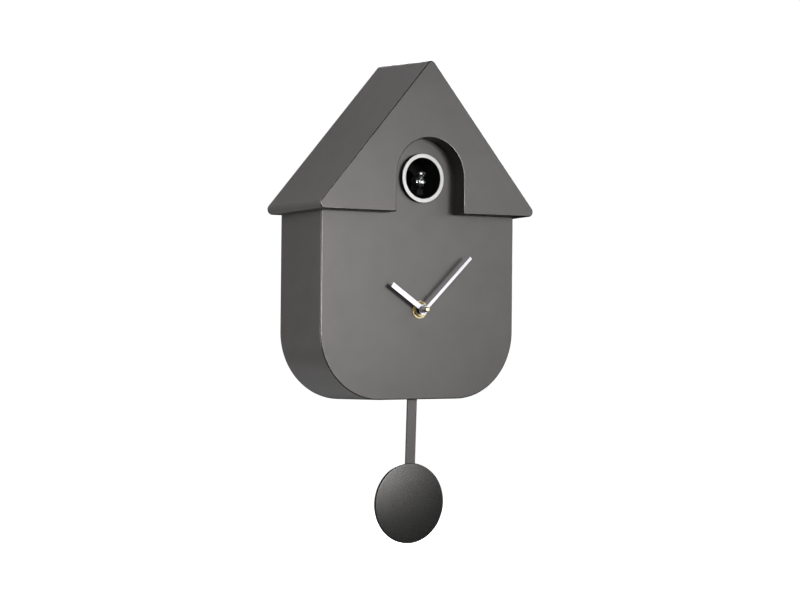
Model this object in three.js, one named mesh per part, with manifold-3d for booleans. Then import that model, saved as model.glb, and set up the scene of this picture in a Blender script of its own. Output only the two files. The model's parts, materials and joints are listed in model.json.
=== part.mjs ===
// Battery cuckoo clock in the shape of a small house: a gabled roof shell over a case with round lower
// corners, a porthole with a bird on a motor slide, a quartz movement with two hands, and a pendulum.
//
// Units are millimetres. +Z is up, the clock faces -Y and hangs on the wall plane y = 0. The origin is
// where the wall screw's shank sits, in the keyhole of the back cover. Stations along the depth are y
// values, so a piece's front has the lower one. Outlines are drawn in the XZ plane, anticlockwise as
// seen from the front.

import * as THREE from 'three';
import { mergeVertices } from 'three/addons/utils/BufferGeometryUtils.js';
import Module from 'manifold-3d';

const wasm = await Module();
wasm.setup();

// ---------------------------------------------------------------- driving dimensions

const ARC_SAG = 0.1;              // how far a chord may stand off its true arc
const SEAT = 0.1;                 // gap between two pieces that rest on each other
const FIT = 0.3;                  // gap round a piece that is pushed into another
const RUNNING = 0.1;              // radial gap of a shaft that turns in its bearing
const DRAFT = Math.tan(THREE.MathUtils.degToRad(1.7)); // slope of every moulded side, wider to the rear

const EAVE_Z = -60;               // lower edge of the roof's front
const ROOF_HALF_WIDTH = 107.7;    // to the sharp corner, at the front
const ROOF_HEIGHT = 126.2;        // eave to sharp ridge, at the front
const ROOF_DEPTH = 80.3;
const ROOF_CORNER = 4.1;
const WALL = 2.5;

const EAVE_OVERHANG = 14.7;       // roof's sharp corner beyond the case's side
const CASE_DROP = 152.6;          // eave to the case's lowest line, at the front
const CASE_CORNER = 55.6;
const CASE_RECESS = 15.4;         // case front behind roof front
const CASE_REAR = -0.8;
const CASE_LAP = 9;               // how far the case stands up inside the roof

const NOTCH_RADIUS = 32.5;        // arched opening in the roof's front
const PORTHOLE_Z = EAVE_Z + 28.7;
const RING_INNER = 16.8;
const RING_WIDTH = 3.2;
const RING_STAND = 4;             // ring face in front of the case front
const RING_FACE = 0.9;            // thickness of the bright ring
const TONGUE_LAP = 5;             // case front behind the notch's walls

const COVER_WALL = 3;
const COVER_GAP = 0.4;
const KEYHOLE_SLOT = 2.3;         // half width, for a 4 mm shank
const KEYHOLE_HEAD = 4.6;         // for an 8 mm screw head
const KEYHOLE_DROP = 9;

const SCREW_RADIUS = 1.4;
const SCREW_HEAD = 2.8;
const SCREW_HEAD_HEIGHT = 1.6;
const SCREW_LENGTH = 10;
const BOSS_RADIUS = 4;
const ROOF_BOSS_HEIGHT = 26;      // above the eave
const CASE_BOSS_INSET = 43;       // in from the case's side
const CASE_BOSS_HEIGHT = 20.6;    // above the case's lowest line
const LAP_BOSS_RADIUS = 3;
const LAP_BOSS_INSET = 31;

const HOUR_HAND = { length: 36, width: 4.2, hub: 4.2, collar: 3.4, depth: 0.8, stand: 6, angle: -56.1 };
const MINUTE_HAND = { length: 61.8, width: 2.6, hub: 3, collar: 2.5, depth: 1.6, stand: 9.6, angle: 45.6 };
const HAND_THICK = 0.5;
const CAP = { radius: 2.4, length: 3.4, bore: 2 };

const MOVEMENT_HALF = 29;
const MOVEMENT_DEPTH = 16;
const MOVEMENT_WALL = 1.2;
const MOVEMENT_CORNER = 3;
const MOVEMENT_SPLIT = 10;        // depth of the front half
const BUSH_RADIUS = 3.9;
const BUSH_STAND = 3;             // bush end in front of the case front
const GASKET = { radius: 9, thick: 0.8 };
const WASHER = { radius: 7.4, thick: 0.5 };
const NUT = { radius: 6.2, thick: 2 };
const ARBOR_RADIUS = 1.25;
const HOUR_TUBE = 2.5;            // outer radius of the hour wheel's tube

const MOTION_MODULE = 0.65;       // cannon pinion 10, minute wheel 30 with pinion 8, hour wheel 32
const CANNON_TEETH = 10;
const MINUTE_TEETH = 30;
const MINUTE_PINION_TEETH = 8;
const HOUR_TEETH = 32;
const CENTRE_TEETH = 45;          // drives the third wheel's pinion
const THIRD_PINION_TEETH = 6;
const THIRD_TEETH = 48;           // meshes with the second wheel's pinion
const SECOND_PINION_TEETH = 6;
const SECOND_RADIUS = 8.5;
const TRAIN_DISTANCE = 12.3;      // centre arbor to third wheel
const THIRD_ANGLE = 70;           // direction of the third wheel, degrees from +X
const GEAR_THICK = 1.1;
const PINION_THICK = 1.7;

const CELL = { radius: 7.1, length: 49.2, nub: 2.7, nubHeight: 1.2 };

const DRIVE = { half: 16, top: 6, bottom: 30, depth: 14, wall: 1.4 }; // top and bottom are from the pivot
const DRIVE_GAP = 2;              // between the pendulum drive and the movement above it
const FLOOR_CLEAR = 6.7;          // pendulum drive above the case's lowest line
const PIN_RADIUS = 1.2;
const ROD = { width: 9, thick: 2, front: -57 };
const DISC = { radius: 33.2, thick: 3.4, crown: 1 };
const DISC_CLEAR = 52.5;          // disc below the case
const SWING = 1.45;               // where the pendulum stands in its swing, degrees
const SWING_MOST = 5;             // limit of the swing to either side, degrees
const SLOT_MARGIN = 2.6;          // room round the rod in the slot of the case's floor

const BIRD_OUT = 18;              // travel of the bird from rest
const BIRD_BACK = 11;
const TUNNEL_LENGTH = 18;
const TUNNEL_WALL = 1.5;
const BEAM = { half: 3, top: -9, height: 4.5 }; // bird carriage, from the porthole's centre line
const BIRD_SEAT = 6.7;            // bird's middle above the carriage's beam
const BIRD_STAND = 3;             // bird's middle behind the case front
const TAIL_RISE = 3.3;            // bird's middle up to the middle of its tail's end
const BIRD_BELLY = 5.6;           // bird's middle down to the top of the post it stands on
const RACK_MODULE = 0.5;
const BIRD_PINION_TEETH = 12;
const FRAME_COLLAR = 1.6;         // plate of the bird frame behind the tunnel
const MOTOR = { radius: 6.5, length: 20, shaft: 1 };

const SPEAKER = { inset: 6.5, rise: 22, radius: 24, depth: 12 };
const TRAY = { inset: 10, wall: 1.5 };
const BOARD = { drop: 27, halfWidth: 17, halfHeight: 16, thick: 1.6 };
const ACCESS_MARGIN = 2;          // opening behind the movement, beyond its housing
const DOOR = { thick: 1.6, lap: 2, travel: 8 };
const BUTTON = { offset: -8, radius: 3, travel: 1.2 };  // offset from the board's middle
const SWITCH = { offset: 8, halfWidth: 2, halfHeight: 3, travel: 4 };

// ---------------------------------------------------------------- stations along the depth

const ROOF_FRONT = -ROOF_DEPTH;
const PANEL_FRONT = ROOF_FRONT + CASE_RECESS;
const PANEL_BACK = PANEL_FRONT + WALL;
const COVER_FRONT = -COVER_WALL;
const MOVEMENT_FRONT = PANEL_BACK + GASKET.thick + 2 * SEAT;
const MOVEMENT_BACK = MOVEMENT_FRONT + MOVEMENT_DEPTH;
const MOVEMENT_INSIDE = MOVEMENT_FRONT + MOVEMENT_WALL;
const TUNNEL_BACK = PANEL_BACK + TUNNEL_LENGTH;
const ROD_BACK = ROD.front + ROD.thick;

// ---------------------------------------------------------------- places that follow from the sizes

const CASE_HALF_WIDTH = ROOF_HALF_WIDTH - EAVE_OVERHANG;
const CASE_FLOOR_Z = EAVE_Z - CASE_DROP;
const RING_OUTER = RING_INNER + RING_WIDTH;
const PORTHOLE_HOLE = RING_INNER + TUNNEL_WALL + FIT;
const ROOF_BOSS = { x: NOTCH_RADIUS + TONGUE_LAP + BOSS_RADIUS + 6.5, z: EAVE_Z + ROOF_BOSS_HEIGHT };
const CASE_BOSS = { x: CASE_HALF_WIDTH - CASE_BOSS_INSET, z: CASE_FLOOR_Z + CASE_BOSS_HEIGHT };
const LAP_BOSS = { x: CASE_HALF_WIDTH - LAP_BOSS_INSET, z: EAVE_Z + WALL + LAP_BOSS_RADIUS - SEAT };
const PIVOT_Z = CASE_FLOOR_Z + FLOOR_CLEAR + DRIVE.bottom;
const HANDS_Z = PIVOT_Z + DRIVE.top + DRIVE_GAP + MOVEMENT_HALF;
const DISC_DROP = PIVOT_Z - CASE_FLOOR_Z + DISC_CLEAR + DISC.radius;
const SLOT_HALF = ROD.width / 2 + SLOT_MARGIN
  + (PIVOT_Z - CASE_FLOOR_Z) * Math.tan(THREE.MathUtils.degToRad(SWING_MOST));
const ACCESS_HALF = MOVEMENT_HALF + ACCESS_MARGIN;
const SPEAKER_X = -(CASE_HALF_WIDTH - WALL - SPEAKER.radius - SPEAKER.inset);
const SPEAKER_Z = HANDS_Z + SPEAKER.rise;
const CELL_PITCH = CELL.radius * 2 + 0.8;
const TRAY_HALF_WIDTH = CELL_PITCH / 2 + CELL.radius + 0.4 + TRAY.wall;
const TRAY_HALF_HEIGHT = (CELL.length + CELL.nubHeight) / 2 + 2.4 + TRAY.wall;
const TRAY_FRONT = COVER_FRONT - SEAT - 2 * CELL.radius - 0.8 - TRAY.wall;
const DOOR_HALF_WIDTH = TRAY_HALF_WIDTH + DOOR.lap;
const DOOR_HALF_HEIGHT = TRAY_HALF_HEIGHT + DOOR.lap;
const TRAY_X = CASE_HALF_WIDTH - WALL - DOOR_HALF_WIDTH - TRAY.inset;
const TRAY_Z = HANDS_Z;
const BOARD_X = SPEAKER_X + 2;
const BOARD_Z = HANDS_Z - BOARD.drop;
const BUTTON_X = BOARD_X + BUTTON.offset;
const SWITCH_X = BOARD_X + SWITCH.offset;

// ---------------------------------------------------------------- outlines

function point(x, z) {
  return new THREE.Vector2(x, z);
}

function arc(x, z, radius, from, to) {
  const step = 2 * Math.acos(1 - ARC_SAG / Math.max(radius, 2 * ARC_SAG));
  const steps = Math.max(2, Math.ceil(Math.abs(to - from) / step));
  return Array.from({ length: steps + 1 }, (_, i) => {
    const angle = from + ((to - from) * i) / steps;
    return point(x + radius * Math.cos(angle), z + radius * Math.sin(angle));
  });
}

function circle(x, z, radius) {
  return arc(x, z, radius, 0, 2 * Math.PI).slice(0, -1);
}

// A polygon given as [x, z, radius] corners, anticlockwise, with its convex corners rounded.
function rounded(corners) {
  return corners.flatMap(([x, z, radius = 0], i) => {
    const here = point(x, z);
    if (radius === 0) {
      return [here];
    }
    const [backX, backZ] = corners.at(i - 1);
    const [onX, onZ] = corners[(i + 1) % corners.length];
    const back = point(backX, backZ).sub(here).normalize();
    const on = point(onX, onZ).sub(here).normalize();
    const half = Math.acos(back.dot(on)) / 2;
    const centre = here.clone().add(back.clone().add(on).setLength(radius / Math.sin(half)));
    const start = here.clone().add(back.setLength(radius / Math.tan(half))).sub(centre).angle();
    return arc(centre.x, centre.y, radius, start, start + Math.PI - 2 * half);
  });
}

function rectangle(left, bottom, right, top, radius = 0) {
  return rounded([
    [left, bottom, radius],
    [right, bottom, radius],
    [right, top, radius],
    [left, top, radius],
  ]);
}

// Straight-flanked clock teeth, thin enough to run with plenty of backlash. A tooth stands at `phase`.
function gear(teeth, module, phase = 0) {
  const pitch = (2 * Math.PI) / teeth;
  const root = module * (teeth / 2 - 1.05);
  const tip = module * (teeth / 2 + 0.75);
  const corners = [[-0.26, root], [-0.09, tip], [0.09, tip], [0.26, root]];
  return Array.from({ length: teeth }, (_, i) => i).flatMap((i) =>
    corners.map(([share, radius]) => {
      const angle = phase + (i + share) * pitch;
      return point(radius * Math.cos(angle), radius * Math.sin(angle));
    }));
}

// ---------------------------------------------------------------- solids

// An outline given thickness, from the station `front` back to `back`.
function slab(outline, front, back) {
  const geometry = new THREE.ExtrudeGeometry(new THREE.Shape(outline), {
    depth: back - front,
    bevelEnabled: false,
  });
  geometry.rotateX(Math.PI / 2);
  geometry.translate(0, back, 0);
  return geometry;
}

// Block between two sideways positions, given in either order.
function box(side, otherSide, front, back, bottom, top) {
  const left = Math.min(side, otherSide);
  const right = Math.max(side, otherSide);
  return slab(rectangle(left, bottom, right, top), front, back);
}

function rodY(x, z, radius, front, back) {
  return slab(circle(x, z, radius), front, back);
}

function rodX(y, z, radius, left, right) {
  return slab(circle(-y, z, radius), left, right).rotateZ(-Math.PI / 2);
}

function rodZ(x, y, radius, bottom, top) {
  return slab(circle(x, -y, radius), bottom, top).rotateX(Math.PI / 2);
}

// A solid of revolution about the Y axis, from [radius, y] pairs that run from the front to the back.
function turned(profile) {
  const widest = Math.max(...profile.map(([radius]) => radius));
  const steps = Math.ceil(Math.PI / Math.acos(1 - ARC_SAG / widest));
  return new THREE.LatheGeometry(profile.map(([radius, y]) => point(radius, y)), steps);
}

function ring(inner, outer, front, back) {
  return turned([[inner, front], [outer, front], [outer, back], [inner, back], [inner, front]]);
}

// Widens a geometry towards the rear, by the moulding draft, about a centre height.
function drafted(geometry, front, centreZ, halfWidth, halfHeight) {
  const place = geometry.attributes.position;
  for (let i = 0; i < place.count; i += 1) {
    const growth = DRAFT * (place.getY(i) - front);
    const x = place.getX(i) * (1 + growth / halfWidth);
    const z = centreZ + (place.getZ(i) - centreZ) * (1 + growth / halfHeight);
    place.setXYZ(i, x, place.getY(i), z);
  }
  return geometry;
}

function toSolid(shape) {
  if (shape instanceof wasm.Manifold) {
    return shape;
  }
  const bare = shape.clone();
  bare.deleteAttribute('normal');
  bare.deleteAttribute('uv');
  const merged = mergeVertices(bare);
  const index = merged.index.array;
  const triangles = [];
  for (let i = 0; i < index.length; i += 3) {
    const [a, b, c] = index.slice(i, i + 3);
    if (a !== b && b !== c && c !== a) {
      triangles.push(a, b, c);
    }
  }
  return new wasm.Manifold(new wasm.Mesh({
    numProp: 3,
    vertProperties: new Float32Array(merged.attributes.position.array),
    triVerts: new Uint32Array(triangles),
  }));
}

function join(...shapes) {
  return shapes.map(toSolid).reduce((whole, piece) => whole.add(piece));
}

function cut(shape, ...tools) {
  return tools.map(toSolid).reduce((whole, tool) => whole.subtract(tool), toSolid(shape));
}

function toGeometry(shape) {
  const mesh = toSolid(shape).getMesh();
  const geometry = new THREE.BufferGeometry();
  geometry.setAttribute('position', new THREE.BufferAttribute(mesh.vertProperties, 3));
  geometry.setIndex(new THREE.BufferAttribute(mesh.triVerts, 1));
  geometry.computeVertexNormals();
  return geometry;
}

// ---------------------------------------------------------------- finishes

function finish(color, roughness, metalness = 0) {
  return new THREE.MeshStandardMaterial({ color, roughness, metalness });
}

const gunmetalPaint = finish(0x716c68, 0.45, 0.35);
const blackPlastic = finish(0x161616, 0.6);
const greyPlastic = finish(0x3a3a3c, 0.6);
const whitePlastic = finish(0xe8e8e6, 0.5);
const silverPaint = finish(0xd9d9dc, 0.35, 0.3);
const chrome = finish(0xe4e6e8, 0.1, 1);
const brass = finish(0xc9a45a, 0.3, 1);
const steel = finish(0xb8babd, 0.35, 1);
const copper = finish(0xa4552f, 0.4, 0.8);
const rubber = finish(0x141414, 0.85);
const circuitGreen = finish(0x1e5a37, 0.5);
const cellJacket = finish(0x2e5d8c, 0.4, 0.2);
const paperCone = finish(0x202022, 0.9);

// ---------------------------------------------------------------- assembly helpers

const clock = new THREE.Group();

function group(x, y, z, parent = clock) {
  const made = new THREE.Group();
  made.position.set(x, y, z);
  parent.add(made);
  return made;
}

function add(parent, name, shape, material) {
  const mesh = new THREE.Mesh(toGeometry(shape), material);
  mesh.name = name;
  parent.add(mesh);
  return mesh;
}

// ---------------------------------------------------------------- roof

const ROOF_INRADIUS = (ROOF_HALF_WIDTH * ROOF_HEIGHT)
  / (ROOF_HALF_WIDTH + Math.hypot(ROOF_HALF_WIDTH, ROOF_HEIGHT));
const ROOF_CENTRE_Z = EAVE_Z + ROOF_INRADIUS;

// The gable's outline at the front, moved outwards by `offset` on every side.
function gableOutline(offset) {
  const k = 1 + offset / ROOF_INRADIUS;
  const bottom = ROOF_CENTRE_Z - ROOF_INRADIUS * k;
  const radius = Math.max(ROOF_CORNER + offset, 0.5);
  return rounded([
    [-ROOF_HALF_WIDTH * k, bottom, radius],
    [ROOF_HALF_WIDTH * k, bottom, radius],
    [0, bottom + ROOF_HEIGHT * k, radius],
  ]);
}

function gableSolid(offset, front, back) {
  const straight = slab(gableOutline(offset), front, back);
  return drafted(straight, ROOF_FRONT, ROOF_CENTRE_Z, ROOF_INRADIUS, ROOF_INRADIUS);
}

// A doorway shape: straight sides from `bottom` up to a half circle round the porthole's centre.
function archOutline(radius, bottom) {
  return [point(-radius, bottom), point(radius, bottom), ...arc(0, PORTHOLE_Z, radius, 0, Math.PI)];
}

// The case's outline at the front, moved outwards by `offset`, open-ended upwards to `top`.
function caseOutline(offset, top) {
  const half = CASE_HALF_WIDTH + offset;
  const bottom = EAVE_Z - CASE_DROP - offset;
  const radius = CASE_CORNER + offset;
  return rounded([[-half, top], [-half, bottom, radius], [half, bottom, radius], [half, top]]);
}

function caseSolid(offset, top, front, back) {
  const straight = slab(caseOutline(offset, top), front, back);
  return drafted(straight, PANEL_FRONT, EAVE_Z, CASE_HALF_WIDTH, CASE_DROP);
}

function bothSides(make) {
  return [make(-1), make(1)];
}

function screwBore(x, z, back) {
  return rodY(x, z, SCREW_RADIUS + FIT, back - SCREW_LENGTH - 2, back + 1);
}

function roofShell() {
  const skin = cut(gableSolid(0, ROOF_FRONT, 0), gableSolid(-WALL, ROOF_FRONT + WALL, 1));
  const wallFront = ROOF_FRONT + WALL / 2;
  const notchWalls = slab(archOutline(NOTCH_RADIUS + WALL, EAVE_Z), wallFront, PANEL_FRONT - SEAT);
  const bosses = bothSides((side) =>
    rodY(side * ROOF_BOSS.x, ROOF_BOSS.z, BOSS_RADIUS, wallFront, COVER_FRONT - SEAT));
  const lapBosses = bothSides((side) =>
    rodY(side * LAP_BOSS.x, LAP_BOSS.z, LAP_BOSS_RADIUS, wallFront, PANEL_FRONT - SEAT));
  return cut(
    join(skin, notchWalls, ...bosses, ...lapBosses),
    slab(archOutline(NOTCH_RADIUS, EAVE_Z - 1), ROOF_FRONT - 1, PANEL_FRONT),
    caseSolid(FIT, EAVE_Z + CASE_LAP - LAP_BOSS_RADIUS, PANEL_FRONT - SEAT, 1),
    ...bothSides((side) => screwBore(side * ROOF_BOSS.x, ROOF_BOSS.z, COVER_FRONT)),
    ...bothSides((side) => screwBore(side * LAP_BOSS.x, LAP_BOSS.z, PANEL_FRONT)),
  );
}

// ---------------------------------------------------------------- case

function caseShell() {
  const skin = cut(
    caseSolid(0, EAVE_Z + CASE_LAP, PANEL_FRONT, CASE_REAR),
    caseSolid(-WALL, EAVE_Z + CASE_LAP + 1, PANEL_BACK, 1),
  );
  const tongue = slab(archOutline(NOTCH_RADIUS + TONGUE_LAP, EAVE_Z), PANEL_FRONT, PANEL_BACK);
  const bosses = bothSides((side) =>
    rodY(side * CASE_BOSS.x, CASE_BOSS.z, BOSS_RADIUS, PANEL_FRONT + WALL / 2, COVER_FRONT - SEAT));
  return cut(
    join(skin, tongue, ...bosses),
    box(-SLOT_HALF, SLOT_HALF, ROD.front - SLOT_MARGIN, ROD_BACK + SLOT_MARGIN, CASE_FLOOR_Z - WALL,
      CASE_FLOOR_Z + 2 * WALL),
    rodY(0, HANDS_Z, BUSH_RADIUS + FIT, PANEL_FRONT - 1, PANEL_BACK + 1),
    rodY(0, PORTHOLE_Z, PORTHOLE_HOLE, PANEL_FRONT - 1, PANEL_BACK + 1),
    ...bothSides((side) => screwBore(side * CASE_BOSS.x, CASE_BOSS.z, COVER_FRONT)),
    ...bothSides((side) =>
      rodY(side * LAP_BOSS.x, LAP_BOSS.z, SCREW_RADIUS + FIT, PANEL_FRONT - 1, PANEL_BACK + 1)),
  );
}

// ---------------------------------------------------------------- back cover

const REAR_GROWTH = DRAFT * ROOF_DEPTH;
const CASE_REAR_GROWTH = DRAFT * (CASE_REAR - PANEL_FRONT);

function keyholeOutline() {
  const neck = Math.sqrt(KEYHOLE_HEAD ** 2 - KEYHOLE_SLOT ** 2);
  const tilt = Math.atan2(neck, KEYHOLE_SLOT);
  return [
    ...arc(0, 0, KEYHOLE_SLOT, 0, Math.PI),
    ...arc(0, -KEYHOLE_DROP, KEYHOLE_HEAD, Math.PI - tilt, 2 * Math.PI + tilt),
  ];
}

function grilleSlots() {
  const pitch = 6;
  const half = 1.3;
  return [-2, -1, 0, 1, 2].map((i) => {
    const reach = Math.sqrt((SPEAKER.radius - 6) ** 2 - (i * pitch) ** 2);
    const x = SPEAKER_X + i * pitch;
    const outline = rectangle(x - half, SPEAKER_Z - reach, x + half, SPEAKER_Z + reach, half * 0.95);
    return slab(outline, COVER_FRONT - 1, 1);
  });
}

function backCover() {
  const gable = slab(gableOutline(REAR_GROWTH - WALL - COVER_GAP), COVER_FRONT, 0);
  const lowerHalf = CASE_REAR_GROWTH - WALL - COVER_GAP;
  const lower = slab(caseOutline(lowerHalf, EAVE_Z + CASE_LAP + 2 * WALL), COVER_FRONT, 0);
  const wallOutside = CASE_HALF_WIDTH + CASE_REAR_GROWTH + COVER_GAP;
  const wallInside = wallOutside - WALL - 2 * COVER_GAP;
  const wallSlots = bothSides((side) =>
    box(side * wallInside, side * wallOutside, COVER_FRONT - 1, 1, EAVE_Z - CASE_LAP,
      EAVE_Z + CASE_LAP + COVER_GAP));
  const tray = [TRAY_X - TRAY_HALF_WIDTH + TRAY.wall, TRAY_X + TRAY_HALF_WIDTH - TRAY.wall];
  const trayEnds = [TRAY_Z - TRAY_HALF_HEIGHT + TRAY.wall, TRAY_Z + TRAY_HALF_HEIGHT - TRAY.wall];
  const doorGap = COVER_GAP / 2;
  const access = rectangle(-ACCESS_HALF, HANDS_Z - ACCESS_HALF, ACCESS_HALF, HANDS_Z + ACCESS_HALF, 4);
  const switchReach = SWITCH.halfHeight + SWITCH.travel / 2 + FIT;
  return cut(
    join(gable, lower),
    ...wallSlots,
    slab(keyholeOutline(), COVER_FRONT - 1, 1),
    ...grilleSlots(),
    slab(access, COVER_FRONT - 1, 1),
    box(...tray, COVER_FRONT - 1, 1, ...trayEnds),
    box(TRAY_X - DOOR_HALF_WIDTH - doorGap, TRAY_X + DOOR_HALF_WIDTH + doorGap, -DOOR.thick - 2 * SEAT, 1,
      TRAY_Z - DOOR_HALF_HEIGHT - doorGap - DOOR.travel, TRAY_Z + DOOR_HALF_HEIGHT + doorGap),
    rodY(BUTTON_X, BOARD_Z, BUTTON.radius + FIT, COVER_FRONT - 1, 1),
    box(SWITCH_X - SWITCH.halfWidth - FIT, SWITCH_X + SWITCH.halfWidth + FIT, COVER_FRONT - 1, 1,
      BOARD_Z - switchReach, BOARD_Z + switchReach),
    ...[ROOF_BOSS, CASE_BOSS].flatMap((boss) => bothSides((side) =>
      join(rodY(side * boss.x, boss.z, SCREW_RADIUS + FIT, COVER_FRONT - 1, 1),
        rodY(side * boss.x, boss.z, SCREW_HEAD + FIT, -SCREW_HEAD_HEIGHT - 2 * SEAT, 1)))),
  );
}

// A pan-head screw that points forwards from its seat: the head lies behind the seat station.
function screw() {
  return cut(
    turned([
      [0, -SCREW_LENGTH],
      [SCREW_RADIUS, -SCREW_LENGTH + 1.5],
      [SCREW_RADIUS, 0],
      [SCREW_HEAD, 0],
      [SCREW_HEAD, SCREW_HEAD_HEIGHT * 0.6],
      [SCREW_HEAD * 0.8, SCREW_HEAD_HEIGHT],
      [0, SCREW_HEAD_HEIGHT],
    ]),
    box(-1.9, 1.9, SCREW_HEAD_HEIGHT - 0.8, SCREW_HEAD_HEIGHT + 1, -0.3, 0.3),
    box(-0.3, 0.3, SCREW_HEAD_HEIGHT - 0.8, SCREW_HEAD_HEIGHT + 1, -1.9, 1.9),
  );
}

function batteryDoor() {
  const plate = slab(rectangle(
    TRAY_X - DOOR_HALF_WIDTH,
    TRAY_Z - DOOR_HALF_HEIGHT,
    TRAY_X + DOOR_HALF_WIDTH,
    TRAY_Z + DOOR_HALF_HEIGHT,
    0.8,
  ), -DOOR.thick - SEAT, -SEAT);
  const grips = [0, 1, 2, 3].map((i) => {
    const z = TRAY_Z - DOOR_HALF_HEIGHT + 6 + i * 2.4;
    return box(TRAY_X - 8, TRAY_X + 8, -SEAT - 0.6, 1, z, z + 1);
  });
  return cut(plate, ...grips);
}

function buildShells() {
  add(clock, 'roof_shell', roofShell(), gunmetalPaint);
  add(clock, 'case_shell', caseShell(), gunmetalPaint);
  add(clock, 'back_cover', backCover(), blackPlastic);
  add(clock, 'battery_door', batteryDoor(), blackPlastic);
  const coverSeat = -SCREW_HEAD_HEIGHT - SEAT;
  const places = [
    ['cover_screw_top_left', -ROOF_BOSS.x, coverSeat, ROOF_BOSS.z],
    ['cover_screw_top_right', ROOF_BOSS.x, coverSeat, ROOF_BOSS.z],
    ['cover_screw_low_left', -CASE_BOSS.x, coverSeat, CASE_BOSS.z],
    ['cover_screw_low_right', CASE_BOSS.x, coverSeat, CASE_BOSS.z],
    ['roof_screw_left', -LAP_BOSS.x, PANEL_BACK + SEAT, LAP_BOSS.z],
    ['roof_screw_right', LAP_BOSS.x, PANEL_BACK + SEAT, LAP_BOSS.z],
  ];
  places.forEach(([name, x, y, z]) => add(group(x, y, z), name, screw(), steel));
}

// ---------------------------------------------------------------- porthole and bird

function birdFigure() {
  const body = new THREE.SphereGeometry(1, 14, 10).scale(4.6, 6.4, 5.2).rotateX(0.45);
  const head = new THREE.SphereGeometry(3.3, 12, 8).translate(0, -3.4, 6);
  const beak = new THREE.ConeGeometry(1.15, 3.6, 8).rotateX(Math.PI).translate(0, -7.4, 5.7);
  const tail = box(-1.8, 1.8, 2, 9.5, -0.9, 0.9).rotateX(-0.5);
  const wings = bothSides((side) =>
    new THREE.SphereGeometry(1, 8, 6).scale(1.1, 5.2, 3.2).rotateX(0.35).translate(side * 4.3, 1.2, 0.4));
  return join(body, head, beak, tail, ...wings);
}

const RACK_PITCH = Math.PI * RACK_MODULE;
const BEAM_BOTTOM = BEAM.top - BEAM.height;
const BIRD_PINION_Y = TUNNEL_BACK + SEAT + FRAME_COLLAR + FIT + MOTOR.radius;
const BIRD_PINION_RADIUS = (RACK_MODULE * BIRD_PINION_TEETH) / 2;
const BIRD_PINION_Z = BEAM_BOTTOM - 0.55 - BIRD_PINION_RADIUS;
const RACK_FRONT = BIRD_PINION_Y - BIRD_BACK - 2 * RACK_PITCH;
const RACK_BACK = BIRD_PINION_Y + BIRD_OUT + 2 * RACK_PITCH;
const PERCH_FRONT = PANEL_FRONT + 1;

function birdCarriage() {
  const beam = box(-BEAM.half, BEAM.half, PERCH_FRONT, RACK_BACK, BEAM_BOTTOM, BEAM.top);
  const first = Math.ceil((RACK_FRONT - BIRD_PINION_Y) / RACK_PITCH);
  const last = Math.floor((RACK_BACK - BIRD_PINION_Y) / RACK_PITCH - 0.5);
  const teeth = Array.from({ length: last - first + 1 }, (_, i) => {
    const y = BIRD_PINION_Y + (first + i) * RACK_PITCH;
    const low = BEAM_BOTTOM - 0.9;
    const outline = [
      point(-y - 0.3 * RACK_PITCH, BEAM_BOTTOM + 0.2),
      point(-y - 0.1 * RACK_PITCH, low),
      point(-y + 0.1 * RACK_PITCH, low),
      point(-y + 0.3 * RACK_PITCH, BEAM_BOTTOM + 0.2),
    ];
    return slab(outline, -BEAM.half + 0.5, BEAM.half - 0.5).rotateZ(-Math.PI / 2);
  });
  const post = rodZ(0, PANEL_FRONT + BIRD_STAND, 1.3, BEAM.top - 1, BEAM.top + BIRD_SEAT - BIRD_BELLY);
  return join(beam, post, ...teeth);
}

function birdFrame() {
  const front = TUNNEL_BACK + SEAT;
  const back = BIRD_PINION_Y + BIRD_OUT + 3;
  const clear = BEAM.half + 0.3;
  const side = 2.2;
  const collar = rodY(0, 0, PORTHOLE_HOLE + 3, front, front + FRAME_COLLAR);
  const rails = bothSides((s) =>
    box(s * clear, s * (clear + side), front, back, BEAM_BOTTOM - 1.6, BEAM.top + 1.8));
  const lips = bothSides((s) =>
    box(s * (clear - 1.3), s * (clear + side), front + 1, back, BEAM.top + 0.3, BEAM.top + 1.8));
  const bracket = box(clear, clear + side, front, BIRD_PINION_Y + MOTOR.radius + 1,
    BIRD_PINION_Z - MOTOR.radius, BEAM.top);
  const bridge = box(-clear - side, clear + side, back - 2.5, back, BEAM_BOTTOM - 3, BEAM_BOTTOM - 1.3);
  return cut(
    join(cut(collar, slab(archWindow(), front - 1, front + 3)), ...rails, ...lips, bracket, bridge),
    rodX(BIRD_PINION_Y, BIRD_PINION_Z, MOTOR.shaft + RUNNING, clear - 1, clear + side + 1),
  );
}

// Opening in the bird frame's collar: room for the bird's tail above, and for beam and rack below.
function archWindow() {
  const clear = BEAM.half + 0.3;
  const low = BEAM_BOTTOM - 1.6;
  const wide = 7;
  return [
    point(-clear, low),
    point(clear, low),
    point(clear, BEAM.top + 0.3),
    ...arc(0, BEAM.top + BIRD_SEAT + TAIL_RISE, wide, -0.9, Math.PI + 0.9),
    point(-clear, BEAM.top + 0.3),
  ];
}

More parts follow.
